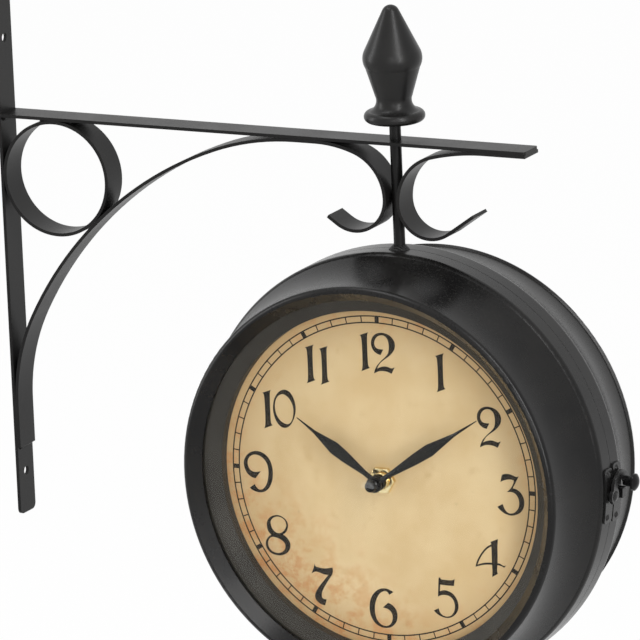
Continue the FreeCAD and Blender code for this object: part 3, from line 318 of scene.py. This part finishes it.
glass_clear = clear_glass()
for side in SIDES:
    wear(glass_clear, side + "_glass")


# ---------------------------------------------------------------- inner bezel
# A spun steel funnel between glass and dial, in dark satin paint. Its grey-brown tint is painted
# reflection of the cream dial, and is not the paint's own colour.
def bezel_paint():
    material = bpy.data.materials.new("bezel_paint")
    pen = open_tree(material)
    where = place_on_part(pen)
    slow = speckle(pen, where, 18.0, 3.0)
    fine = speckle(pen, where, 0.6, 2.0)
    # Both colours are the dark paint with a warm tint added as painted reflection of the dial.
    colour = slow.band(0.3, 0.7).between((0.026, 0.023, 0.019, 1), (0.036, 0.032, 0.027, 1))
    return dress(material, pen, {"Base Color": colour, "Roughness": 0.40 + fine * 0.10,
                                 "Specular IOR Level": 0.16},
                 bump=fine, height=0.0006, edge=0.2)


bezel_satin_and_reflection = bezel_paint()
for side in SIDES:
    wear(bezel_satin_and_reflection, side + "_bezel")


# ---------------------------------------------------------------- dial
# A flat plate with a print that imitates old paper: cream, browner towards its rim, with
# stains, faint fibres and specks. The print covers the face only, and the plate's back is bare.
ROD_X, SEAM_Y, CLOCK_Z = 0.214, 0.001, -0.089
DIAL_DEPTH = 28.6
WAY = {"front": 1, "rear": -1}
PAPER = (0.640, 0.455, 0.235, 1)
PAPER_PALE = (0.720, 0.545, 0.310, 1)
PAPER_BROWN = (0.430, 0.235, 0.085, 1)
PAPER_RUST = (0.560, 0.240, 0.080, 1)
PAPER_SPECK = (0.210, 0.130, 0.065, 1)
PLATE_BARE = (0.400, 0.385, 0.350, 1)


def dial_spot(side, across, up, depth):
    """World place of a point of one half, in millimetres as seen from its own dial."""
    way = WAY[side]
    return Vector((ROD_X + way * across * MM, SEAM_Y - way * depth * MM, CLOCK_Z + up * MM))


def dial_frame(side, depth):
    """Matrix from millimetres on one dial's face, seen from its own side, to the world."""
    way = WAY[side]
    axes = Matrix(((way, 0, 0), (0, 0, -way), (0, 1, 0))).to_4x4()
    return Matrix.Translation(dial_spot(side, 0, 0, depth)) @ axes @ Matrix.Scale(MM, 4)


def aged_paper(side):
    material = bpy.data.materials.new(side + "_aged_paper")
    pen = open_tree(material)
    where = place_on_part(pen)
    centre = dial_spot(side, 0, 0, DIAL_DEPTH) / MM
    local = pen.node("VectorMath", {"operation": "SUBTRACT"}, {0: where, 1: tuple(centre)})
    flip = (WAY[side], 1.0, 1.0)
    local = pen.node("VectorMath", {"operation": "MULTIPLY"}, {0: local, 1: flip})
    parts = pen.node("SeparateXYZ", values={0: local})
    across = Shade(pen.tree, parts.output.node.outputs[0])
    up = Shade(pen.tree, parts.output.node.outputs[2])
    behind = Shade(pen.tree, parts.output.node.outputs[1]).math("ABSOLUTE").band(0.15, 0.30)
    radius = pen.node("VectorMath", {"operation": "LENGTH"}, {0: local}, "Value")

    cloud = speckle(pen, local, 34.0, 4.0, 0.55)
    blot = speckle(pen, local, 15.0, 5.0, 0.62)
    stain = speckle(pen, local, 9.0, 6.0, 0.70)
    fibre = speckle(pen, local, 0.9, 3.0, 0.6)
    specks = pen.node("TexVoronoi", {"feature": "F1"}, {"Vector": local, "Scale": 0.16,
                                                        "Randomness": 1.0})
    rim = (radius + cloud * 26.0).band(74.0, 104.0)
    low_left = (across * -0.62 + up * -0.78 + blot * 30.0).band(38.0, 92.0)
    colour = cloud.band(0.30, 0.70).between(PAPER, PAPER_PALE)
    colour = (rim * 0.55).between(colour, PAPER_BROWN)
    colour = (low_left * stain.band(0.42, 0.62) * 0.70).between(colour, PAPER_RUST)
    colour = (rim * stain.band(0.50, 0.66) * 0.45).between(colour, PAPER_RUST)
    colour = (blot.band(0.58, 0.76) * 0.28).between(colour, PAPER_BROWN)
    colour = (fibre.band(0.45, 0.75) * 0.07).between(colour, PAPER_BROWN)
    dots = specks.band(0.10, 0.05) * stain.band(0.50, 0.60)
    colour = (dots * 0.35).between(colour, PAPER_SPECK)
    colour = behind.between(colour, PLATE_BARE)
    return dress(material, pen, {"Base Color": colour, "Roughness": 0.50 + fibre * 0.12,
                                 "Specular IOR Level": 0.25},
                 bump=fibre + blot * 0.5, height=0.01)


for side in SIDES:
    wear(aged_paper(side), side + "_dial")


# ---------------------------------------------------------------- dial print
# Numbers and minute track are printed on the paper in one near-black ink. The numbers are
# broad-nib figures with thick and thin strokes; the ink is a hair proud of the paper.
PRINT_LIFT = 0.03
PRINT_HALF = 0.012
NUMBER_RADIUS = 62.5
CURVE_STEPS = 5

# Each figure is drawn in millimetres as closed outlines. An outline is a row of smooth runs
# that meet at sharp corners, and a run's last point is the next run's first.
ONE = [[[(-2.5, 8.0), (2.4, 9.8)],
        [(2.4, 9.8), (1.7, 8.4), (1.5, 4.0), (1.45, -2.0), (1.6, -6.6), (2.5, -7.9)],
        [(2.5, -7.9), (-2.3, -9.9)],
        [(-2.3, -9.9), (-1.6, -8.2), (-1.35, -4.0), (-1.35, 2.0), (-1.6, 6.9), (-2.5, 8.0)]]]
TWO = [[[(2.9, 2.4), (1.4, -0.4)],
        [(1.4, -0.4), (-0.5, 0.1), (-2.5, 1.7), (-3.5, 4.3), (-3.1, 7.2), (-1.3, 9.5), (1.5, 10.6),
         (4.6, 10.4), (7.3, 9.1), (9.0, 6.7), (9.2, 4.1), (8.1, 1.7), (5.7, -0.8), (2.8, -2.9),
         (0.7, -4.8), (-0.8, -7.3)],
        [(-0.8, -7.3), (1.2, -6.4), (3.5, -5.9), (5.5, -6.2), (7.0, -6.6), (8.7, -5.9)],
        [(8.7, -5.9), (6.9, -9.3)],
        [(6.9, -9.3), (4.6, -8.5), (2.2, -8.3), (-0.2, -8.7), (-2.5, -9.9)],
        [(-2.5, -9.9), (-2.1, -8.3), (-0.9, -6.0), (1.2, -3.6), (3.7, -1.3), (5.3, 0.6),
         (5.9, 3.1), (5.8, 6.0), (4.9, 8.3), (2.9, 9.4), (0.5, 8.9), (-1.2, 7.2), (-1.8, 4.9),
         (-1.1, 3.2), (0.3, 2.5), (2.9, 2.4)]]]
THREE = [[[(1.2, 7.9), (2.8, 8.5), (5.2, 8.6), (7.4, 8.0), (8.9, 7.5), (10.2, 8.1)],
          [(10.2, 8.1), (8.6, 5.1), (6.7, 1.7)],
          [(6.7, 1.7), (8.8, 1.3), (11.1, -0.4), (12.5, -3.4), (12.3, -7.0), (10.5, -9.9),
           (7.6, -11.5), (4.5, -11.9), (1.6, -11.0), (-0.5, -9.5), (-1.8, -8.2)],
          [(-1.8, -8.2), (1.1, -6.5)],
          [(1.1, -6.5), (1.9, -8.7), (3.2, -10.3), (5.0, -10.9), (7.3, -10.2), (9.3, -8.0),
           (9.9, -5.2), (9.4, -2.7), (8.0, -0.9), (6.0, -0.2), (3.4, -0.4)],
          [(3.4, -0.4), (5.0, 0.9), (6.3, 2.5), (7.2, 4.4), (7.4, 5.7)],
          [(7.4, 5.7), (5.8, 6.0), (4.0, 5.8), (2.0, 5.2), (0.3, 4.3)],
          [(0.3, 4.3), (1.2, 7.9)]]]
FOUR = [[[(2.2, 5.2), (6.3, 7.0)],
         [(6.3, 7.0), (5.9, 4.0), (5.75, -1.0), (5.6, -5.1)],
         [(5.6, -5.1), (6.8, -5.2), (8.0, -5.8), (9.0, -6.2), (10.1, -5.6)],
         [(10.1, -5.6), (9.1, -7.0), (7.7, -6.4), (5.5, -6.1)],
         [(5.5, -6.1), (5.2, -9.0), (5.6, -10.4)],
         [(5.6, -10.4), (2.4, -12.3)],
         [(2.4, -12.3), (2.7, -10.0), (2.65, -6.2)],
         [(2.65, -6.2), (0.0, -6.3), (-3.0, -6.9), (-6.3, -8.0)],
         [(-6.3, -8.0), (-5.5, -5.4), (-4.5, -3.4), (-2.5, -0.3), (0.1, 2.5), (2.6, 4.0)],
         [(2.6, 4.0), (2.2, 5.2)]],
        [[(2.62, 3.0), (0.4, 1.6), (-1.8, -0.8), (-3.9, -4.0), (-5.1, -6.8)],
         [(-5.1, -6.8), (-2.5, -5.8), (0.0, -5.3), (2.6, -5.15)],
         [(2.6, -5.15), (2.6, -1.0), (2.62, 3.0)]]]
FIVE = [[[(-3.4, 7.7), (-2.4, 7.7)],
         [(-2.4, 7.7), (-2.1, 6.9), (0.5, 6.8), (3.6, 6.9), (5.2, 7.7)],
         [(5.2, 7.7), (4.7, 4.2)],
         [(4.7, 4.2), (1.0, 4.1), (-2.6, 4.2)],
         [(-2.6, 4.2), (-3.0, 0.8)],
         [(-3.0, 0.8), (-1.4, 1.4), (0.6, 1.5), (3.5, 0.5), (5.7, -1.9), (6.7, -5.0), (6.3, -8.0),
          (4.2, -10.8), (1.1, -12.2), (-2.0, -12.0), (-4.6, -10.9), (-6.7, -9.2)],
         [(-6.7, -9.2), (-4.0, -7.8)],
         [(-4.0, -7.8), (-3.4, -9.7), (-2.1, -11.0), (0.0, -11.6), (2.5, -10.9), (4.2, -8.8),
          (4.8, -6.0), (4.2, -3.2), (2.5, -1.4), (0.2, -0.8), (-2.0, -1.0), (-4.1, -2.0)],
         [(-4.1, -2.0), (-3.4, 7.7)]]]
SIX = [[[(3.2, 6.4), (0.9, 4.8)],
        [(0.9, 4.8), (-0.1, 6.1), (-1.8, 6.4), (-4.2, 5.0), (-6.1, 2.0), (-7.1, -1.6),
         (-7.1, -5.4), (-6.1, -8.6), (-4.0, -10.6), (-1.2, -11.1), (1.0, -9.9), (2.1, -7.6),
         (2.1, -5.0), (0.8, -3.0), (-1.0, -2.2), (-2.8, -1.9)],
        [(-2.8, -1.9), (-1.4, -0.6), (0.1, 0.7)],
        [(0.1, 0.7), (1.5, 0.2), (3.0, -0.8), (4.5, -2.8), (4.9, -5.4), (4.1, -8.6), (1.6, -11.2),
         (-1.5, -12.1), (-4.7, -11.7), (-7.7, -9.7), (-9.7, -6.0), (-10.0, -1.5), (-8.9, 2.6),
         (-6.6, 5.7), (-3.6, 7.5), (-0.5, 7.8), (1.7, 7.1), (3.2, 6.4)]]]
SEVEN = [[[(-7.8, 8.5), (-7.2, 7.1), (-5.0, 6.6), (-2.0, 6.5), (1.9, 7.3)],
          [(1.9, 7.3), (2.0, 5.4), (1.5, 3.7), (0.3, 1.9), (-1.3, -0.4), (-3.2, -3.4),
           (-4.4, -6.0), (-4.5, -8.0), (-3.8, -8.9), (-2.0, -9.1)],
          [(-2.0, -9.1), (-3.0, -12.3)],
          [(-3.0, -12.3), (-5.6, -11.6), (-7.7, -9.9), (-8.2, -7.6), (-7.2, -5.0), (-5.2, -2.2),
           (-2.6, 0.9), (-0.6, 3.3)],
          [(-0.6, 3.3), (-3.0, 3.5), (-5.4, 4.2), (-7.6, 4.4), (-9.7, 3.3)],
          [(-9.7, 3.3), (-8.4, 6.2), (-7.8, 8.5)]]]
EIGHT = [[[(-1.5, -1.2), (0.6, -2.7), (2.1, -4.9), (2.2, -7.5), (0.8, -10.0), (-1.8, -11.6),
           (-5.0, -12.1), (-8.4, -11.2), (-10.7, -8.9), (-11.1, -6.0), (-9.9, -3.6), (-8.0, -2.0)],
          [(-8.0, -2.0), (-9.4, -0.4), (-10.1, 1.8), (-9.9, 4.4), (-8.5, 6.6), (-6.2, 7.9),
           (-3.7, 8.3), (-1.2, 7.5), (0.8, 5.8), (1.5, 3.6), (0.9, 1.2), (-0.3, -0.5),
           (-1.5, -1.2)]],
         [[(-8.0, 4.2), (-7.6, 2.0), (-6.4, 0.2), (-4.8, -0.7), (-2.9, -0.7), (-1.2, 0.4),
           (0.1, 2.2), (0.5, 4.0), (-0.3, 6.0), (-2.0, 7.2), (-4.2, 7.5), (-6.3, 6.8),
           (-7.6, 5.5), (-8.0, 4.2)]],
         [[(-7.3, -3.0), (-4.6, -3.3), (-2.2, -4.3), (-0.6, -6.0), (-0.7, -8.4), (-2.4, -10.2),
           (-5.0, -10.9), (-7.8, -10.2), (-9.5, -8.3), (-9.8, -6.0), (-9.0, -4.0),
           (-7.3, -3.0)]]]
NINE = [[[(-3.8, -1.6), (-6.8, -5.4)],
         [(-6.8, -5.4), (-9.0, -4.9), (-11.3, -3.1), (-12.7, 0.0), (-12.7, 3.2), (-10.5, 6.5),
          (-6.9, 8.3), (-3.1, 8.1), (0.2, 6.1), (2.1, 2.9), (2.8, -1.4), (2.2, -6.0),
          (0.2, -9.9), (-2.6, -11.9), (-5.6, -12.3), (-8.4, -11.6), (-10.2, -10.4)],
         [(-10.2, -10.4), (-7.3, -8.3)],
         [(-7.3, -8.3), (-6.9, -9.3), (-5.8, -10.5), (-4.3, -10.9), (-2.5, -10.0), (-0.8, -7.6),
          (0.2, -4.0), (0.4, -0.6), (-0.3, 2.6), (-2.1, 5.0), (-4.8, 6.4), (-7.5, 6.4),
          (-9.8, 4.9), (-10.8, 2.4), (-10.3, -0.2), (-8.8, -1.8), (-6.6, -2.2), (-3.8, -1.6)]]]
ZERO = [[[(2.8, 9.3), (5.6, 8.2), (7.6, 5.0), (8.4, 0.4), (7.4, -4.4), (5.0, -8.4), (2.0, -9.9),
          (-0.9, -8.8), (-3.1, -5.4), (-4.0, -0.4), (-2.9, 4.6), (-0.3, 8.1), (2.8, 9.3)]],
        [[(1.2, 6.9), (-1.4, 5.3), (-2.8, 1.6), (-2.4, -3.0), (-0.2, -6.4), (3.2, -7.9),
          (5.7, -6.4), (7.0, -2.4), (6.9, 1.4), (5.4, 4.6), (3.4, 6.4), (1.2, 6.9)]]]
NUMBERS = {
    # hour: figures, each with its shift across and up
    1: [(ONE, 1.7, 1.8)],
    2: [(TWO, 1.0, -0.8)],
    3: [(THREE, 0.0, 0.0)],
    4: [(FOUR, 0.0, 0.0)],
    5: [(FIVE, 0.0, 0.0)],
    6: [(SIX, 0.0, 0.0)],
    7: [(SEVEN, 0.0, 0.0)],
    8: [(EIGHT, 0.0, 0.0)],
    9: [(NINE, 0.0, 0.0)],
    10: [(ONE, -7.0, -1.2), (ZERO, 0.0, 0.0)],
    11: [(ONE, -5.6, 0.5), (ONE, 2.0, 0.4)],
    12: [(ONE, -7.1, 0.6), (TWO, 0.0, 0.0)],
}
TRACK_RINGS = (81.45, 80.80, 78.20, 77.55)
TRACK_LOW, TRACK_HIGH = 77.85, 81.15
MINUTE_WIDTH, HOUR_WIDTH = 0.55, 2.2
PER_HOUR, HOURS = 5, 12


def smooth_run(points):
    """Points along a smooth curve through a run's points, without its last one."""
    if len(points) == 2:
        return points[:1]
    ends = [points[0]] + list(points) + [points[-1]]
    line = []
    for before, start, stop, after in zip(ends, ends[1:], ends[2:], ends[3:]):
        for step in range(CURVE_STEPS):
            t = step / CURVE_STEPS
            line.append(tuple(
                0.5 * (2 * b + (c - a) * t + (2 * a - 5 * b + 4 * c - d) * t * t
                       + (3 * b - a - 3 * c + d) * t ** 3)
                for a, b, c, d in zip(before, start, stop, after)))
    return line


def closed_line(runs, shift):
    """One outline of a figure as a plain polygon, moved to its place."""
    if len(runs) == 1:
        # a single run closes on itself, so its ends are smoothed too
        loop = runs[0][:-1]
        runs = [[loop[-1]] + loop + [loop[0], loop[1]]]
        line = smooth_run(runs[0])[CURVE_STEPS:-CURVE_STEPS]
    else:
        line = [point for run in runs for point in smooth_run(run)]
    return [(x + shift[0], y + shift[1]) for x, y in line]


def circle_line(radius, count=180):
    return [(radius * math.cos(turn), radius * math.sin(turn))
            for turn in (math.tau * number / count for number in range(count))]


def number_lines():
    lines = []
    for hour, figures in NUMBERS.items():
        turn = math.radians(90 - 30 * hour)
        centre = (NUMBER_RADIUS * math.cos(turn), NUMBER_RADIUS * math.sin(turn))
        for figure, across, up in figures:
            lines += [closed_line(runs, (centre[0] + across, centre[1] + up)) for runs in figure]
    return lines


def tick_lines():
    lines = []
    for minute in range(HOURS * PER_HOUR):
        turn = math.tau * minute / (HOURS * PER_HOUR)
        half = (MINUTE_WIDTH if minute % PER_HOUR else HOUR_WIDTH) / 2
        out = Vector((math.cos(turn), math.sin(turn)))
        side_way = Vector((-math.sin(turn), math.cos(turn)))
        corners = ((TRACK_LOW, -half), (TRACK_HIGH, -half), (TRACK_HIGH, half), (TRACK_LOW, half))
        lines.append([tuple(out * radius + side_way * step) for radius, step in corners])
    return lines


def drawn(name, lines, place, half, rounding=0.0):
    """Filled outlines as a plate, half as thick as given to each side of their plane."""
    data = bpy.data.curves.new(name + "_outline", "CURVE")
    data.dimensions = "2D"
    data.fill_mode = "BOTH"
    data.extrude = half
    data.bevel_depth = rounding
    data.bevel_resolution = 2
    for line in lines:
        spline = data.splines.new("POLY")
        spline.points.add(len(line) - 1)
        for point, (x, y) in zip(spline.points, line):
            point.co = (x, y, 0, 1)
        spline.use_cyclic_u = True
    holder = bpy.data.objects.new(name, data)
    mesh = bpy.data.meshes.new_from_object(holder)
    bpy.data.objects.remove(holder)
    mesh.name = name
    mesh.transform(place)
    return mesh


def dial_ink():
    """Near-black ink, a little worn and brown where it is thin."""
    material = bpy.data.materials.new("dial_ink")
    pen = open_tree(material)
    where = place_on_part(pen)
    worn = speckle(pen, where, 2.6, 4.0, 0.6)
    colour = worn.band(0.35, 0.75).between((0.010, 0.008, 0.006, 1), (0.040, 0.028, 0.017, 1))
    return dress(material, pen, {"Base Color": colour, "Roughness": 0.5 + worn * 0.1,
                                 "Specular IOR Level": 0.2})


def add_piece(name, mesh, material, body):
    """Put a mesh in the scene as a piece that rides on a body."""
    piece = bpy.data.objects.new(name, mesh)
    scene.collection.objects.link(piece)
    mesh.materials.clear()
    mesh.materials.append(material)
    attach(piece, body)
    return piece


ink = dial_ink()
for side in SIDES:
    prints = (("numbers", number_lines(), 0.0),
              ("track_rings", [circle_line(radius) for radius in TRACK_RINGS], 0.0),
              ("track_marks", tick_lines(), PRINT_HALF / 2))
    for name, lines, extra in prints:
        face = dial_frame(side, DIAL_DEPTH + PRINT_LIFT + extra)
        mesh = drawn(f"{side}_{name}", lines, face, PRINT_HALF)
        add_piece(mesh.name, mesh, ink, BODY_OF[side])


# ---------------------------------------------------------------- bushing, nut and arbors
# The movement is held by a threaded brass bushing through the dial and one hexagon nut. Hour tube
# and minute arbor are turned brass as well. The thread's free end stands above the nut.
NUT_TOP, BUSHING_TOP = DIAL_DEPTH + 2.6, DIAL_DEPTH + 4.6
THREAD_PITCH, THREAD_STEPS = 0.75, 24
THREAD_FOOT, THREAD_CREST = 3.97, 4.24
THREAD_START = 0.15  # share of a pitch left free above the nut


def mottled(name, dark, pale, roughness, cloud=6.0, grain=0.5, height=0.006, edge=0.0,
            metallic=0.0, level=0.5):
    """Two close colours in soft clouds, with one fine grain in the sheen and as low relief."""
    material = bpy.data.materials.new(name)
    pen = open_tree(material)
    where = place_on_part(pen)
    slow = speckle(pen, where, cloud, 3.0)
    fine = speckle(pen, where, grain, 2.0)
    colour = slow.band(0.3, 0.7).between(dark + (1,), pale + (1,))
    values = {"Base Color": colour, "Roughness": roughness + (fine - 0.5) * 0.10,
              "Metallic": metallic, "Specular IOR Level": level}
    return dress(material, pen, values, bump=fine, height=height, edge=edge)


def thread(name, side):
    """Helical ridge with a pointed section, wound on the bushing's free end."""
    turns = (BUSHING_TOP - NUT_TOP - THREAD_PITCH) / THREAD_PITCH
    count = int(turns * THREAD_STEPS)
    points, faces = [], []
    for step in range(count + 1):
        turn = math.tau * step / THREAD_STEPS
        level = NUT_TOP + THREAD_PITCH * (step / THREAD_STEPS + THREAD_START)
        crest = THREAD_FOOT if step in (0, count) else THREAD_CREST
        for radius, rise in ((THREAD_FOOT, 0.0), (crest, THREAD_PITCH / 3),
                             (THREAD_FOOT, THREAD_PITCH * 2 / 3)):
            points.append((radius * math.cos(turn), radius * math.sin(turn), level + rise))
    for step in range(count):
        first = step * 3
        for corner in range(3):
            after = (corner + 1) % 3
            faces.append((first + corner, first + after, first + after + 3, first + corner + 3))
    faces += [(2, 1, 0), (count * 3, count * 3 + 1, count * 3 + 2)]
    mesh = bpy.data.meshes.new(name)
    mesh.from_pydata(points, [], faces)
    mesh.transform(dial_frame(side, 0))
    return mesh


brass = mottled("brass_turned", (0.72, 0.56, 0.28), (0.88, 0.74, 0.44), 0.22, cloud=3.0,
                grain=0.25, height=0.004, edge=0.12, metallic=1.0)
for side in SIDES:
    wear(brass, side + "_bushing", side + "_nut", side + "_hour_tube", side + "_minute_arbor")
    add_piece(side + "_bushing_thread", thread(side + "_bushing_thread", side), brass,
              BODY_OF[side])


# ---------------------------------------------------------------- hands and cap
# Lance hands are stamped from thin sheet, creased along the middle and enamelled black. A small
# glossy black cap nut closes the minute arbor.
hand_enamel = mottled("hand_enamel", (0.004, 0.004, 0.004), (0.008, 0.007, 0.006), 0.28,
                      cloud=5.0, grain=0.4, height=0.003, edge=0.08, level=0.25)
cap_gloss = mottled("cap_gloss", (0.004, 0.004, 0.004), (0.008, 0.008, 0.008), 0.16,
                    cloud=3.0, grain=0.4, height=0.002, edge=0.10, level=0.14)
for side in SIDES:
    wear(hand_enamel, side + "_hour_hand", side + "_minute_hand")
    wear(cap_gloss, side + "_hand_cap")


# ---------------------------------------------------------------- movement housing
# The movement sits in a square housing moulded in black plastic, open at the battery bay. A low
# rim runs round the bay, and four studs close the housing at its corners.
HOUSING_BACK = 10.3
BAY_DOWN, BAY_HALF_LONG, BAY_HALF_WIDE = -18.0, 25.05, 7.4
RIM_PLAY, RIM_WIDTH, RIM_HALF = 0.1, 0.9, 0.3
STUD_SPREAD, STUD_LOW, STUD_RADIUS = 24.6, -4.0, 1.5
STUD_HALF, STUD_ROUNDING = 0.35, 0.15


def block_line(across, up, half_long, half_wide):
    """Corners of a block's outline round a centre."""
    return [(across + x * half_long, up + y * half_wide)
            for x, y in ((-1, -1), (1, -1), (1, 1), (-1, 1))]


housing = mottled("housing_plastic", (0.010, 0.010, 0.011), (0.020, 0.020, 0.021), 0.52,
                  cloud=8.0, grain=0.35, height=0.012, edge=0.2, level=0.4)
for side in SIDES:
    wear(housing, side + "_movement")
    rim = [block_line(0, BAY_DOWN, BAY_HALF_LONG + grow, BAY_HALF_WIDE + grow)
           for grow in (RIM_PLAY + RIM_WIDTH, RIM_PLAY)]
    rim = drawn(side + "_bay_rim", rim, dial_frame(side, HOUSING_BACK - RIM_HALF), RIM_HALF)
    add_piece(rim.name, rim, housing, BODY_OF[side])
    studs = [[(x * STUD_SPREAD + dx, up + dy) for dx, dy in circle_line(STUD_RADIUS, 24)]
             for x in (-1, 1) for up in (STUD_SPREAD, STUD_LOW)]
    studs = drawn(side + "_housing_studs", studs, dial_frame(side, HOUSING_BACK - STUD_HALF),
                  STUD_HALF - STUD_ROUNDING, STUD_ROUNDING)
    add_piece(studs.name, studs, housing, BODY_OF[side])


# ---------------------------------------------------------------- setting knob
# The time is set from behind with a pale moulded knob on the housing's back. Fine ribs round its
# edge give the fingers a grip.
KNOB_UP, KNOB_MIDDLE = 9.0, 8.7
KNOB_FOOT, KNOB_CREST, KNOB_RIBS = 5.9, 6.25, 30
RIB_BED, RIB_HALF = 0.2, 1.1


def ribbed_line():
    """The knob's edge with square ribs."""
    line = []
    for rib in range(KNOB_RIBS * 4):
        turn = math.tau * rib / (KNOB_RIBS * 4)
        radius = KNOB_CREST if rib % 4 in (1, 2) else KNOB_FOOT
        line.append((radius * math.cos(turn), radius * math.sin(turn)))
    return line


knob_plastic = mottled("knob_plastic", (0.38, 0.38, 0.36), (0.50, 0.50, 0.47), 0.48, cloud=3.0,
                       grain=0.35, height=0.008, edge=0.12, level=0.4)
for side in SIDES:
    wear(knob_plastic, side + "_setting_knob")
    knob_at = dial_frame(side, KNOB_MIDDLE) @ Matrix.Translation((0, KNOB_UP, 0))
    ribs = drawn(side + "_knob_ribs", [ribbed_line(), circle_line(KNOB_FOOT - RIB_BED, 60)],
                 knob_at, RIB_HALF)
    add_piece(ribs.name, ribs, knob_plastic, side + "_setting")


# ---------------------------------------------------------------- battery
# One round cell lies across each housing in a plain printed sleeve, here without any print.
sleeve = mottled("cell_sleeve", (0.055, 0.075, 0.105), (0.085, 0.105, 0.140), 0.30, cloud=12.0,
                 grain=0.5, height=0.003, edge=0.25, metallic=0.3)
for side in SIDES:
    wear(sleeve, side + "_battery")


# ---------------------------------------------------------------- washer and retainer
# A rubber washer keeps the housing from turning on the dial. A sprung steel ring holds the dial
# against the bezel from behind.
rubber = mottled("rubber_washer", (0.012, 0.012, 0.012), (0.022, 0.021, 0.020), 0.75, cloud=4.0,
                 grain=0.6, height=0.01, edge=0.1, level=0.3)
spring_steel = mottled("spring_steel", (0.32, 0.32, 0.33), (0.50, 0.50, 0.51), 0.34, cloud=4.0,
                       grain=0.3, height=0.004, edge=0.10, metallic=1.0)
for side in SIDES:
    wear(rubber, side + "_washer")
    wear(spring_steel, side + "_retainer")


# ---------------------------------------------------------------- hinge and latch
# Stamped hinge leaves and latch plates are riveted to the bands and sprayed with the case. The
# hinge pin stays zinc plated, and the latch's domed knob is glossy black.
zinc = mottled("zinc_plate", (0.22, 0.22, 0.22), (0.42, 0.41, 0.40), 0.38, cloud=2.5, grain=0.3,
               height=0.004, edge=0.10, metallic=1.0)
hardware = satin_paint("hardware_paint", 0.18, 0.26, 0.32)
wear(zinc, "hinge_pin")
wear(hardware, "latch_plate", "catch_plate", "latch_pivot", "latch_lever")
wear(cap_gloss, "latch_knob")
for side in SIDES:
    wear(hardware, side + "_hinge_leaf", side + "_rivets")
